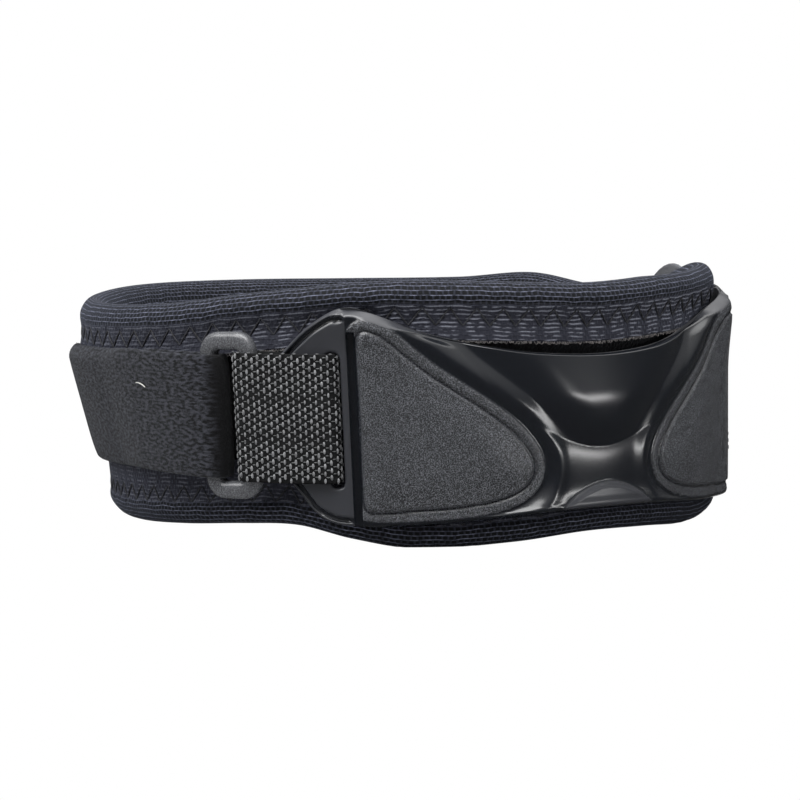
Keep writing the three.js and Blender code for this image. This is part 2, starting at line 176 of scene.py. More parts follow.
def link_object(name: str, data: bpy.types.ID) -> Piece:
    """Makes an object of some data and links it to the scene.

    Args:
        name: the object's name.
        data: its mesh, light or camera.

    Returns:
        The object.
    """
    obj = bpy.data.objects.new(name, data)
    bpy.context.scene.collection.objects.link(obj)
    return obj


def make_mesh(
    name: str,
    points: Array,
    quads: Array | None = None,
    uv: Array | None = None,
    attributes: dict[str, Array] | None = None,
    edges: Array | None = None,
) -> Piece:
    """Makes a smooth-shaded mesh object at the origin.

    Args:
        name: the object's name.
        points: vertices in millimetres, in an array of any shape.
        quads: a row of four vertex numbers for each face.
        uv: a pair in millimetres for each corner of each face, in the faces' order.
        attributes: values for each vertex, by name: one number or a vector.
        edges: vertex pairs, for a mesh that carries lines.

    Returns:
        The object, linked to the scene.
    """
    mesh = bpy.data.meshes.new(name)
    points = points.reshape(-1, 3)
    mesh.vertices.add(len(points))
    mesh.vertices.foreach_set("co", (points * MM).astype(np.float32).ravel())
    if edges is not None:
        mesh.edges.add(len(edges))
        mesh.edges.foreach_set("vertices", edges.astype(np.int32).ravel())
    if quads is not None:
        mesh.loops.add(quads.size)
        mesh.loops.foreach_set("vertex_index", quads.astype(np.int32).ravel())
        mesh.polygons.add(len(quads))
        mesh.polygons.foreach_set("loop_start", np.arange(0, quads.size, 4, dtype=np.int32))
    if uv is not None:
        layer = mesh.uv_layers.new(name=UV_MAP)
        layer.data.foreach_set("uv", uv.astype(np.float32).ravel())
    for key, values in (attributes or {}).items():
        kind, slot = ("FLOAT_VECTOR", "vector") if values.ndim == 2 else ("FLOAT", "value")
        layer = mesh.attributes.new(key, kind, "POINT")
        layer.data.foreach_set(slot, values.astype(np.float32).ravel())
    mesh.update(calc_edges=True)
    mesh.validate()
    mesh.shade_smooth()
    return link_object(name, mesh)


def grid_quads(columns: int, rows: int, close_columns: bool, close_rows: bool) -> Array:
    """Numbers the quads of a grid of points.

    Args:
        columns: number of columns.
        rows: number of points in a column.
        close_columns: whether the last column joins the first.
        close_rows: whether a column's last point joins its first.

    Returns:
        Vertex numbers and, beside them, the unwrapped column and row of each corner.
    """
    across, up = np.arange(columns - (not close_columns)), np.arange(rows - (not close_rows))
    i, k = np.meshgrid(across, up, indexing="ij")
    corners = np.stack([np.stack([i + a, k + b], -1) for a, b in ((0, 0), (1, 0), (1, 1), (0, 1))], -2)
    corners = corners.reshape(-1, 4, 2)
    numbers = (corners[..., 0] % columns) * rows + corners[..., 1] % rows
    return np.concatenate([numbers[..., None], corners], -1)


def grow(source: Piece, tree: Tree, name: str, **inputs: Any) -> Piece:
    """Runs a Geometry Nodes tree on an object and keeps the result as a plain mesh.

    Args:
        source: the object that the tree reads.
        tree: the Geometry Nodes tree.
        name: name of the new piece.
        inputs: values for the tree's named inputs, with spaces as underscores.

    Returns:
        The new object.
    """
    modifier = source.modifiers.new("grow", "NODES")
    modifier.node_group = tree
    for item in tree.interface.items_tree:
        key = item.name.replace(" ", "_")
        if item.in_out == "INPUT" and key in inputs:
            modifier[item.identifier] = inputs[key]
    graph = bpy.context.evaluated_depsgraph_get()
    mesh = bpy.data.meshes.new_from_object(source.evaluated_get(graph), depsgraph=graph)
    source.modifiers.remove(modifier)
    mesh.name = name
    return link_object(name, mesh)


def new_tree(name: str, sockets: dict[str, str]) -> tuple[Tree, Any]:
    """Starts a Geometry Nodes tree with one geometry in and out and a material in.

    Args:
        name: the tree's name.
        sockets: further inputs, name to socket type without its prefix.

    Returns:
        The tree and its inputs by name.
    """
    tree = bpy.data.node_groups.new(name, "GeometryNodeTree")
    tree.interface.new_socket("Geometry", in_out="OUTPUT", socket_type="NodeSocketGeometry")
    for key, kind in ({"Geometry": "Geometry"} | sockets | {"Material": "Material"}).items():
        tree.interface.new_socket(key, in_out="INPUT", socket_type="NodeSocket" + kind)
    return tree, add_node(tree, "NodeGroupInput").outputs


def end_tree(tree: Tree, geometry: Node, material: Socket) -> None:
    """Ends a tree in realized, smooth, finished geometry.

    Args:
        tree: the Geometry Nodes tree.
        geometry: what the tree has made.
        material: the socket that gives its material.
    """
    real = add_node(tree, "GeometryNodeRealizeInstances", {"Geometry": geometry})
    smooth = add_node(tree, "GeometryNodeSetShadeSmooth", {"Geometry": real, "Shade Smooth": True})
    done = add_node(tree, "GeometryNodeSetMaterial", {"Geometry": smooth, "Material": material})
    add_node(tree, "NodeGroupOutput", {"Geometry": done})


def settle(obj: Piece, slot: Slot, material: Material | None = None) -> Piece:
    """Lets a finished piece ride on the brace and reports it.

    Args:
        obj: the piece.
        slot: not used.
        material: its material, where the piece has none yet.

    Returns:
        The piece.
    """
    if material is not None:
        obj.data.materials.clear()
        obj.data.materials.append(material)
    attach(obj, BODY)
    LOG.info("%s: %d faces", obj.name, len(obj.data.polygons))
    return obj


# The wall that every piece is laid on


@dataclass
class Wall:
    """The padded ring's wall, unrolled. Angles are from the plate's middle, + towards +X.

    reach is the pad's outer face from the loop's middle, bottom and top are its edges, flare is the outward
    lean per millimetre of height, bead and foot are how far the upper and lower rolled edges stand out beyond
    the outer face, and swell is how far the upper hem stands out.
    """

    shift: tuple[float, float] = (1.72, 0.56)
    mid_height: float = 25.0
    unroll: float = 67.0
    columns: tuple[str, ...] = ("angle", "reach", "bottom", "top", "flare", "bead", "foot", "swell")
    rows: tuple[tuple[float, ...], ...] = (
        (-180, 65.0, 0.0, 44.8, 0.10, -0.8, -0.8, 0.20),
        (-152, 65.6, 0.0, 45.0, 0.14, -1.0, -0.7, 0.30),
        (-125, 66.0, 0.0, 44.3, 0.17, -1.3, -0.8, 0.35),
        (-100, 65.8, 0.7, 44.5, 0.14, -1.0, -0.9, 0.35),
        (-80, 65.4, 2.2, 46.0, 0.08, -0.4, -0.6, 0.30),
        (-65, 65.1, 3.6, 48.3, 0.04, 0.0, -0.2, 0.10),
        (-54, 65.0, 4.0, 49.7, 0.02, 0.6, 0.6, 0.00),
        (-44, 65.0, 1.8, 50.9, 0.00, 1.0, 1.0, 0.00),
        (-33, 65.0, 0.0, 51.4, 0.00, 1.0, 1.0, 0.00),
        (-15, 65.0, 0.7, 50.9, 0.00, 1.0, 1.0, 0.00),
        (0, 65.0, 1.8, 50.3, 0.00, 1.0, 1.0, 0.00),
        (15, 65.0, 1.3, 50.8, 0.00, 1.2, 0.8, 0.00),
        (33, 64.8, 0.0, 51.7, -0.02, 2.2, 0.6, 0.00),
        (42, 64.5, 1.2, 52.5, -0.02, 2.5, 2.0, 0.30),
        (48, 62.3, 2.6, 52.2, -0.02, 2.3, 3.0, 0.50),
        (56, 59.9, 4.0, 48.9, 0.00, 1.7, 2.2, 0.50),
        (66, 59.4, 3.9, 47.6, 0.02, 1.0, 1.0, 0.00),
        (80, 60.0, 3.0, 46.0, 0.04, 0.0, 0.0, 0.00),
        (98, 61.4, 1.4, 44.6, 0.05, -0.5, -0.5, 0.10),
        (115, 62.8, 0.0, 46.4, 0.08, -0.8, -0.8, 0.20),
        (132, 64.0, 0.0, 44.9, 0.09, -0.8, -0.8, 0.20),
        (155, 64.8, 0.0, 44.5, 0.10, -0.8, -0.8, 0.20),
    )

    def __post_init__(self) -> None:
        """Reads the table finely once, closed after a full turn."""
        table = np.array(self.rows)
        turn = np.zeros(table.shape[1])
        turn[0] = 360
        looped = np.concatenate([table - turn, table, table + turn])
        self.fine = np.linspace(-180, 180, 7201)
        read = hermite(looped[:, 0], looped[:, 1:], self.fine)
        self.table = dict(zip(self.columns[1:], read.T))
        self.table["bottom"] = np.maximum(self.table["bottom"], 0)

    def value(self, name: str, angle: Array) -> Array:
        """Reads one column of the table at some angles."""
        return np.interp((angle + 180) % 360 - 180, self.fine, self.table[name])

    def along(self, angle: Array) -> Array:
        """Distance along the unrolled wall from the plate's middle."""
        return np.radians(angle) * self.unroll

    def point(self, angle: Array, out: Array, height: Array) -> Array:
        """Points on or off the wall.

        Args:
            angle: degrees from the plate's middle.
            out: distance from the pad's nominal outer face.
            height: height above the floor.

        Returns:
            Points in millimetres.
        """
        radius = self.value("reach", angle) + out + self.value("flare", angle) * (height - self.mid_height)
        a = np.radians(angle)
        x, y = radius * np.sin(a) + self.shift[0], -radius * np.cos(a) + self.shift[1]
        return np.stack(np.broadcast_arrays(x, y, height), -1)


WALL = Wall()


# Finishes


def start_material(name: str) -> tuple[Material, Tree]:
    """Makes an empty node material.

    Args:
        name: the material's name.

    Returns:
        The material and its tree.
    """
    material = bpy.data.materials.new(name)
    material.use_nodes = True
    material.node_tree.nodes.clear()
    return material, material.node_tree


def end_material(tree: Tree, links: dict) -> None:
    """Ends a material in one principled shader with these inputs."""
    shader = add_node(tree, "ShaderNodeBsdfPrincipled", links)
    add_node(tree, "ShaderNodeOutputMaterial", {"Surface": shader})


@dataclass(frozen=True)
class WarpKnit:
    """Warp-knitted polyester mesh: thin light courses round rows of dark oval pores.

    From each zigzag seam to its hem the knit is drawn flat: broken light dashes, with painted shade between
    the stitches where they draw the knit in.
    seams are the seams' places up the cover, stitch is the zigzag's pitch, start its phase, and front is the
    distance round the ring to the plate's middle. The pitches are a little coarser than the real knit's.
    """

    seams: tuple[float, float]
    stitch: float
    start: float
    front: float
    name: str = "warp_knit_polyester"
    course: str = "565967"
    divider: str = "1d1f27"
    pore: str = "06070a"
    drawn: str = "202129"
    dash: str = "5d5f68"
    sheen: str = "9aa2b8"
    pore_pitch: float = 1.2012
    row_pitch: float = 0.96
    drawn_pitch: float = 0.8
    wander: float = 0.7
    shade_from: float = 52.0
    shade_to: float = 88.0
    shade_share: float = 0.6

    def build(self) -> Material:
        """Makes the material.

        Returns:
            The material.
        """
        material, tree = start_material(self.name)
        uv = add_node(tree, "ShaderNodeUVMap", uv_map=UV_MAP)
        place = add_node(tree, "ShaderNodeTexCoord").outputs["Object"]
        # The rows wander by a fraction of a stitch, as stretched cloth does
        links = {"Vector": place, "Scale": 260.0, "Detail": 1.0}
        stray = add_node(tree, NOISE, links).outputs["Color"]
        links = {0: stray, 1: (self.wander, self.wander, 0.0), 2: uv}
        moved = add_node(tree, VECTOR_MATH, links, operation="MULTIPLY_ADD")
        pores, open_knit = self.open_knit(tree, moved, place)
        beyond, drawn_knit = self.drawn_knit(tree, moved, uv)
        flat = add_node(tree, MAP_RANGE, {0: beyond, 1: -2.7, 2: -1.7}, **EASED)
        tone = add_node(tree, MIX, {0: flat, 6: open_knit, 7: drawn_knit}, **COLOUR)
        raised = add_node(tree, MATH, {0: 1.0, 1: pores}, operation="SUBTRACT")
        bent = add_node(tree, "ShaderNodeBump", {"Strength": 0.6, "Distance": 0.25 * MM, "Height": raised})
        links = {"Base Color": tone, "Roughness": 0.8, "Normal": bent, "Specular IOR Level": 0.15}
        links |= {"Sheen Weight": 0.14, "Sheen Roughness": 0.45, "Sheen Tint": linear(self.sheen)}
        end_material(tree, links)
        return material

    def open_knit(self, tree: Tree, moved: Node, place: Socket) -> tuple[Node, Node]:
        """Draws two staggered sets of pores between courses that glint in places.

        Args:
            tree: the material's tree.
            moved: where a point lies on the unrolled cloth, in millimetres.
            place: where it lies on the brace, in metres.

        Returns:
            How far a point is in a pore, and its colour.
        """
        turns = (math.tau / self.pore_pitch, math.pi / self.row_pitch, 1.0)
        phase = add_node(tree, VECTOR_MATH, {0: moved, 1: turns}, operation="MULTIPLY")
        wave = add_node(tree, VECTOR_MATH, {0: phase}, operation="COSINE")
        along, up, _ = add_node(tree, "ShaderNodeSeparateXYZ", {0: wave}).outputs
        level = add_node(tree, MATH, {0: up}, operation="ABSOLUTE")
        stagger = add_node(tree, MATH, {0: up}, operation="SIGN")
        swing = add_node(tree, MATH, {0: along, 1: stagger}, operation="MULTIPLY")
        wide = add_node(tree, MAP_RANGE, {0: swing, 1: -0.9, 2: -0.25}, **EASED)
        tall = add_node(tree, MAP_RANGE, {0: level, 1: 0.15, 2: 0.6}, **EASED)
        pores = add_node(tree, MATH, {0: wide, 1: tall}, operation="MULTIPLY")
        cloud = add_node(tree, NOISE, {"Vector": place, "Scale": 900.0, "Detail": 2.0})
        glint = add_node(tree, MAP_RANGE, {0: cloud, 1: 0.35, 2: 0.68, 3: 0.1, 4: 1.1})
        thin = add_node(tree, MAP_RANGE, {0: level, 1: 0.5, 2: 0.1}, **EASED)
        courses = add_node(tree, MATH, {0: thin, 1: glint}, operation="MULTIPLY")
        links = {0: courses, 6: linear(self.divider), 7: linear(self.course)}
        yarn = add_node(tree, MIX, links, **COLOUR)
        tone = add_node(tree, MIX, {0: pores, 6: yarn, 7: linear(self.pore)}, **COLOUR)
        return pores, tone

    def drawn_knit(self, tree: Tree, moved: Node, uv: Node) -> tuple[Node, Node]:
        """Draws broken dashes in rows, with painted shade at the feet of the stitches, round the sides and in
        the lower band.

        Args:
            tree: the material's tree.
            moved: where a point lies on the unrolled cloth, in millimetres.
            uv: the same without the rows' wandering.

        Returns:
            How far a point is beyond the nearer seam, and its colour.
        """
        along, up, _ = add_node(tree, "ShaderNodeSeparateXYZ", {0: moved}).outputs
        # Each row is broken at its own places
        links = {0: up, 1: math.tau / self.drawn_pitch}
        turns = add_node(tree, MATH, links, operation="MULTIPLY")
        wave = add_node(tree, MATH, {0: turns}, operation="COSINE")
        row = add_node(tree, MAP_RANGE, {0: wave, 1: 0.1, 2: 0.8}, **EASED)
        links = {0: uv, 1: (0.55, 1 / self.drawn_pitch, 1.0)}
        apart = add_node(tree, VECTOR_MATH, links, operation="MULTIPLY")
        patch = add_node(tree, NOISE, {"Vector": apart, "Scale": 1.0, "Detail": 1.0})
        whole = add_node(tree, MAP_RANGE, {0: patch, 1: 0.37, 2: 0.53}, **EASED)
        light = add_node(tree, MATH, {0: row, 1: whole}, operation="MULTIPLY")
        # Painted shade at the feet of the stitches, towards the hem, where the stitches draw the knit in
        count = add_node(tree, MATH, {0: along, 1: self.stitch}, operation="DIVIDE")
        count = add_node(tree, MATH, {0: count, 1: self.start}, operation="ADD")
        turn = add_node(tree, MATH, {0: count}, operation="FRACT")
        turn = add_node(tree, MATH, {0: turn, 1: 0.5}, operation="SUBTRACT")
        turn = add_node(tree, MATH, {0: turn}, operation="ABSOLUTE")
        foot = add_node(tree, MAP_RANGE, {0: turn, 1: 0.2, 2: 0.42}, **EASED)
        below = add_node(tree, MATH, {0: self.seams[0], 1: up}, operation="SUBTRACT")
        above = add_node(tree, MATH, {0: up, 1: self.seams[1]}, operation="SUBTRACT")
        beyond = add_node(tree, MATH, {0: below, 1: above}, operation="MAXIMUM")
        hem = add_node(tree, MAP_RANGE, {0: beyond, 1: -0.6, 2: 1.0}, **EASED)
        shade = add_node(tree, MATH, {0: foot, 1: hem}, operation="MULTIPLY")
        # Painted shade: round the sides and in the lower band the dashes are dimmed towards the dark ground
        aside = add_node(tree, MATH, {0: along, 1: self.front}, operation="SUBTRACT")
        aside = add_node(tree, MATH, {0: aside}, operation="ABSOLUTE")
        side = add_node(tree, MAP_RANGE, {0: aside, 1: self.shade_from, 2: self.shade_to}, **EASED)
        lower = add_node(tree, MAP_RANGE, {0: below, 1: -3.0, 2: -1.5}, **EASED)
        painted_dim = add_node(tree, MATH, {0: side, 1: lower}, operation="MAXIMUM")
        painted_dim = add_node(tree, MATH, {0: painted_dim, 1: self.shade_share}, operation="MULTIPLY")
        for dark in (shade, painted_dim):
            left = add_node(tree, MATH, {0: 1.0, 1: dark}, operation="SUBTRACT")
            light = add_node(tree, MATH, {0: light, 1: left}, operation="MULTIPLY")
        links = {0: light, 6: linear(self.drawn), 7: linear(self.dash)}
        return beyond, add_node(tree, MIX, links, **COLOUR)


@dataclass(frozen=True)
class Plush:
    """Brushed polyester: a soft, matt, slightly mottled pile that lightens where it is seen edge-on."""

    name: str
    light: str
    dark: str
    clump: float = 1.6
    relief: float = 0.5
    sheen: float = 0.5
    sheen_tint: str = "8a8c90"

    def build(self) -> Material:
        """Makes the material.

        Returns:
            The material.
        """
        material, tree = start_material(self.name)
        place = add_node(tree, "ShaderNodeTexCoord").outputs["Object"]
        links = {"Vector": place, "Scale": 1 / (self.clump * MM), "Detail": 4.0}
        clumps = add_node(tree, NOISE, links)
        share = add_node(tree, MAP_RANGE, {0: clumps, 1: 0.35, 2: 0.68})
        links = {0: share, 6: linear(self.dark), 7: linear(self.light)}
        tone = add_node(tree, MIX, links, **COLOUR)
        links = {"Vector": place, "Scale": 3 / (self.clump * MM), "Detail": 2.0}
        fine = add_node(tree, NOISE, links)
        links = {"Strength": 0.8, "Distance": self.relief * MM, "Height": fine}
        bent = add_node(tree, "ShaderNodeBump", links)
        links = {"Base Color": tone, "Roughness": 0.95, "Normal": bent, "Specular IOR Level": 0.15}
        links |= {"Sheen Weight": self.sheen, "Sheen Roughness": 0.5, "Sheen Tint": linear(self.sheen_tint)}
        end_material(tree, links)
        return material


@dataclass(frozen=True)
class LoopPile:
    """Brushed nylon loop: matted rows of dark pile, painted nearly black with shade in the folds, and fused
    grey at the tip.
    """

    name: str = "brushed_nylon_loop"
    light: str = "2f3036"
    dark: str = "040506"
    fold_shade: str = "060607"
    fused: str = "56575a"
    sheen: str = "8a8c90"
    row: float = 0.55
    streak: float = 1.2

    def build(self) -> Material:
        """Makes the material.

        Returns:
            The material.
        """
        material, tree = start_material(self.name)
        uv = add_node(tree, "ShaderNodeUVMap", uv_map=UV_MAP)
        links = {0: uv, 1: (1 / self.streak, 1 / self.row, 1.0)}
        rows = add_node(tree, VECTOR_MATH, links, operation="MULTIPLY")
        matted = add_node(tree, NOISE, {"Vector": rows, "Scale": 1.0, "Detail": 3.0})
        share = add_node(tree, MAP_RANGE, {0: matted, 1: 0.41, 2: 0.62})
        links = {0: share, 6: linear(self.dark), 7: linear(self.light)}
        tone = add_node(tree, MIX, links, **COLOUR)
        # Painted shade darkens the folds round the rings; the free end is fused grey
        for mark, colour in (("crush_and_shade", self.fold_shade), ("tip", self.fused)):
            there = add_node(tree, "ShaderNodeAttribute", attribute_name=mark).outputs["Fac"]
            tone = add_node(tree, MIX, {0: there, 6: tone, 7: linear(colour)}, **COLOUR)
        fine = add_node(tree, NOISE, {"Vector": rows, "Scale": 4.0, "Detail": 2.0})
        bent = add_node(tree, "ShaderNodeBump", {"Strength": 0.8, "Distance": 0.4 * MM, "Height": fine})
        links = {"Base Color": tone, "Roughness": 0.95, "Normal": bent, "Specular IOR Level": 0.12}
        links |= {"Sheen Weight": 0.25, "Sheen Roughness": 0.5, "Sheen Tint": linear(self.sheen)}
        end_material(tree, links)
        return material


@dataclass(frozen=True)
class MouldedPlate:
    """Moulded soft PVC: near-black gloss in the middle, satin frames in a lighter grey that is partly painted
    light, spark-eroded grain on the wings.
    """

    name: str = "moulded_soft_pvc"
    gloss: str = "111317"
    satin: str = "303135"
    grain_dark: str = "131416"
    grain_light: str = "616368"
    grain: float = 0.2
    gloss_roughness: float = 0.2
    satin_roughness: float = 0.34

    def build(self) -> Material:
        """Makes the material.

        Returns:
            The material.
        """
        material, tree = start_material(self.name)
        place = add_node(tree, "ShaderNodeTexCoord").outputs["Object"]
        marks = [add_node(tree, "ShaderNodeAttribute", attribute_name=mark) for mark in ("grain", "satin")]
        grained, satin = (mark.outputs["Fac"] for mark in marks)
        # The eroded grain is a fine speckle: its tops catch the light and its pits stay dark. It is drawn
        # about as coarse as a pixel of the photograph, because a finer one wouldn't show
        links = {"Vector": place, "Scale": 1 / (self.grain * MM), "Detail": 1.5}
        grit = add_node(tree, NOISE, links)
        tops = add_node(tree, MAP_RANGE, {0: grit, 1: 0.46, 2: 0.68})
        links = {0: tops, 6: linear(self.grain_dark), 7: linear(self.grain_light)}
        speckle = add_node(tree, MIX, links, **COLOUR)
        # The satin grey is lighter than the gloss: a satin finish, partly painted light on faces that catch
        # it
        links = {0: satin, 6: linear(self.gloss), 7: linear(self.satin)}
        smooth = add_node(tree, MIX, links, **COLOUR)
        tone = add_node(tree, MIX, {0: grained, 6: smooth, 7: speckle}, **COLOUR)
        matt = add_node(tree, MATH, {0: grained, 1: satin}, operation="MAXIMUM")
        links = {0: matt, 3: self.gloss_roughness, 4: self.satin_roughness}
        rough = add_node(tree, MAP_RANGE, links)
        height = add_node(tree, MATH, {0: grit, 1: grained}, operation="MULTIPLY")
        bent = add_node(tree, "ShaderNodeBump", {"Strength": 0.36, "Distance": 0.13 * MM, "Height": height})
        links = {"Base Color": tone, "Roughness": rough, "Normal": bent}
        end_material(tree, links | {"IOR": 1.5, "Specular IOR Level": 0.5})
        return material


@dataclass(frozen=True)
class SatinPlastic:
    """Moulded acetal: even grey with a soft broad shine and a speckle as coarse as the plate's grain."""

    name: str = "moulded_acetal"
    light: str = "5d5e61"
    dark: str = "333437"
    grain: float = 0.2
    roughness: float = 0.26

    def build(self) -> Material:
        """Makes the material.

        Returns:
            The material.
        """
        material, tree = start_material(self.name)
        place = add_node(tree, "ShaderNodeTexCoord").outputs["Object"]
        links = {"Vector": place, "Scale": 1 / (self.grain * MM), "Detail": 2.0}
        grit = add_node(tree, NOISE, links)
        tops = add_node(tree, MAP_RANGE, {0: grit, 1: 0.4, 2: 0.7})
        links = {0: tops, 6: linear(self.dark), 7: linear(self.light)}
        tone = add_node(tree, MIX, links, **COLOUR)
        bent = add_node(tree, "ShaderNodeBump", {"Strength": 0.3, "Distance": 0.07 * MM, "Height": grit})
        end_material(tree, {"Base Color": tone, "Roughness": self.roughness, "Normal": bent})
        return material


@dataclass(frozen=True)
class Yarn:
    """Filament yarn: strands, coarser than real filaments so that they show, with a little shine."""

    name: str
    light: str
    dark: str
    roughness: float = 0.5
    blotch: float = 0.9
    strand: float = 0.12
    sheen: float = 0.2

    def build(self) -> Material:
        """Makes the material.

        Returns:
            The material.
        """
        material, tree = start_material(self.name)
        place = add_node(tree, "ShaderNodeTexCoord").outputs["Object"]
        links = {"Vector": place, "Scale": 1 / (self.blotch * MM), "Detail": 2.0}
        blotches = add_node(tree, NOISE, links)
        share = add_node(tree, MAP_RANGE, {0: blotches, 1: 0.3, 2: 0.7})
        links = {0: share, 6: linear(self.dark), 7: linear(self.light)}
        tone = add_node(tree, MIX, links, **COLOUR)
        strands = add_node(tree, NOISE, {"Vector": place, "Scale": 1 / (self.strand * MM)})
        bent = add_node(tree, "ShaderNodeBump", {"Strength": 0.3, "Distance": 0.05 * MM, "Height": strands})
        links = {"Base Color": tone, "Roughness": self.roughness, "Normal": bent}
        end_material(tree, links | {"Sheen Weight": self.sheen, "Sheen Roughness": 0.4})
        return material


# Geometry Nodes that repeat small things


def bead_tree() -> Tree:
    """Sets a rounded bead of yarn on every point, along its run and facing out of the surface.

    Returns:
        The tree.
    """
    tree, given = new_tree("yarn_beads", dict.fromkeys(("Length", "Width", "Height"), "Float"))
    ball = add_node(tree, "GeometryNodeMeshUVSphere", {"Segments": 8, "Rings": 5, "Radius": 0.5})
    kinds = {"facing": "FLOAT_VECTOR", "run": "FLOAT_VECTOR", "share": "FLOAT"}
    facing, run, share = (
        add_node(tree, "GeometryNodeInputNamedAttribute", {"Name": name}, data_type=kind)
        for name, kind in kinds.items()
    )
    links = {0: facing, 1: run}
    turn = add_node(tree, "FunctionNodeAxesToRotation", links, primary_axis="Z", secondary_axis="X")
    links = {"X": given["Length"], "Y": given["Width"], "Z": given["Height"]}
    size = add_node(tree, "ShaderNodeCombineXYZ", links)
    scale = add_node(tree, VECTOR_MATH, {0: size, "Scale": share}, operation="SCALE")
    links = {"Points": given["Geometry"], "Instance": ball, "Rotation": turn, "Scale": scale}
    beads = add_node(tree, "GeometryNodeInstanceOnPoints", links)
    end_tree(tree, beads, given["Material"])
    return tree


def thread_tree() -> Tree:
    """Runs a round thread along every line of a mesh.

    Returns:
        The tree.
    """
    tree, given = new_tree("sewn_thread", {"Radius": "Float"})
    line = add_node(tree, "GeometryNodeMeshToCurve", {"Mesh": given["Geometry"]})
    links = {"Resolution": 6, "Radius": given["Radius"]}
    round_ = add_node(tree, "GeometryNodeCurvePrimitiveCircle", links, mode="RADIUS")
    links = {"Curve": line, "Profile Curve": round_, "Fill Caps": True}
    thread = add_node(tree, "GeometryNodeCurveToMesh", links)
    end_tree(tree, thread, given["Material"])
    return tree


def pile_tree() -> Tree:
    """Grows short bent fibres on the faces of a surface where its pile attribute says.

    Returns:
        The tree.
    """
    sockets = dict.fromkeys(("Density", "Length", "Width"), "Float")
    tree, given = new_tree("brushed_pile", sockets | {"Seed": "Int"})
    pile = add_node(tree, "GeometryNodeInputNamedAttribute", {"Name": "pile"}, data_type="FLOAT")
    thick = add_node(tree, MATH, {0: pile, 1: given["Density"]}, operation="MULTIPLY")
    links = {"Mesh": given["Geometry"], "Density": thick, "Seed": given["Seed"]}
    roots = add_node(tree, "GeometryNodeDistributePointsOnFaces", links, distribute_method="RANDOM")
    # One fibre: a flat blade along a bent line
    ends = {"Start": (0, 0, 0), "Middle": (0.1, 0, 0.75), "End": (0.8, 0, 0.55), "Resolution": 3}
    bent = add_node(tree, "GeometryNodeCurveQuadraticBezier", ends)
    flat = add_node(tree, "GeometryNodeCurvePrimitiveLine", {"Start": (0, -0.5, 0), "End": (0, 0.5, 0)})
    wide = add_node(tree, "ShaderNodeCombineXYZ", {"X": 1.0, "Y": given["Width"], "Z": 1.0})
    blade = add_node(tree, "GeometryNodeTransform", {"Geometry": flat, "Scale": wide})
    fibre = add_node(tree, "GeometryNodeCurveToMesh", {"Curve": bent, "Profile Curve": blade})
    # Each one turned and sized by chance
    links = {"Min": (-0.3, -0.3, 0.0), "Max": (0.3, 0.3, math.tau), "Seed": given["Seed"]}
    spin = add_node(tree, "FunctionNodeRandomValue", links, data_type="FLOAT_VECTOR")
    links = {"Rotation": roots.outputs["Rotation"], "Rotate By": spin}
    turn = add_node(tree, "FunctionNodeRotateRotation", links, rotation_space="LOCAL")
    links = {2: 0.6, 3: 1.25, "Seed": given["Seed"]}
    vary = add_node(tree, "FunctionNodeRandomValue", links, data_type="FLOAT")
    size = add_node(tree, MATH, {0: vary, 1: given["Length"]}, operation="MULTIPLY")
    links = {"Points": roots, "Instance": fibre, "Rotation": turn, "Scale": size}
    fibres = add_node(tree, "GeometryNodeInstanceOnPoints", links)
    end_tree(tree, fibres, given["Material"])
    return tree


def sew(name: str, chains: Array, radius: float, material: Material) -> Piece:
    """Runs a round thread along chains of points.

    Args:
        name: the piece's name.
        chains: points by chain and by place in it.
        radius: the thread's radius.
        material: its finish.

    Returns:
        The threads.
    """
    count, length = chains.shape[:2]
    first = (np.arange(count)[:, None] * length + np.arange(length - 1)).ravel()
    lines = make_mesh(name + "_lines", chains, edges=np.stack([first, first + 1], -1))
    threads = grow(lines, thread_tree(), name, Radius=radius * MM, Material=material)
    bpy.data.objects.remove(lines)
    return threads


# The padded ring


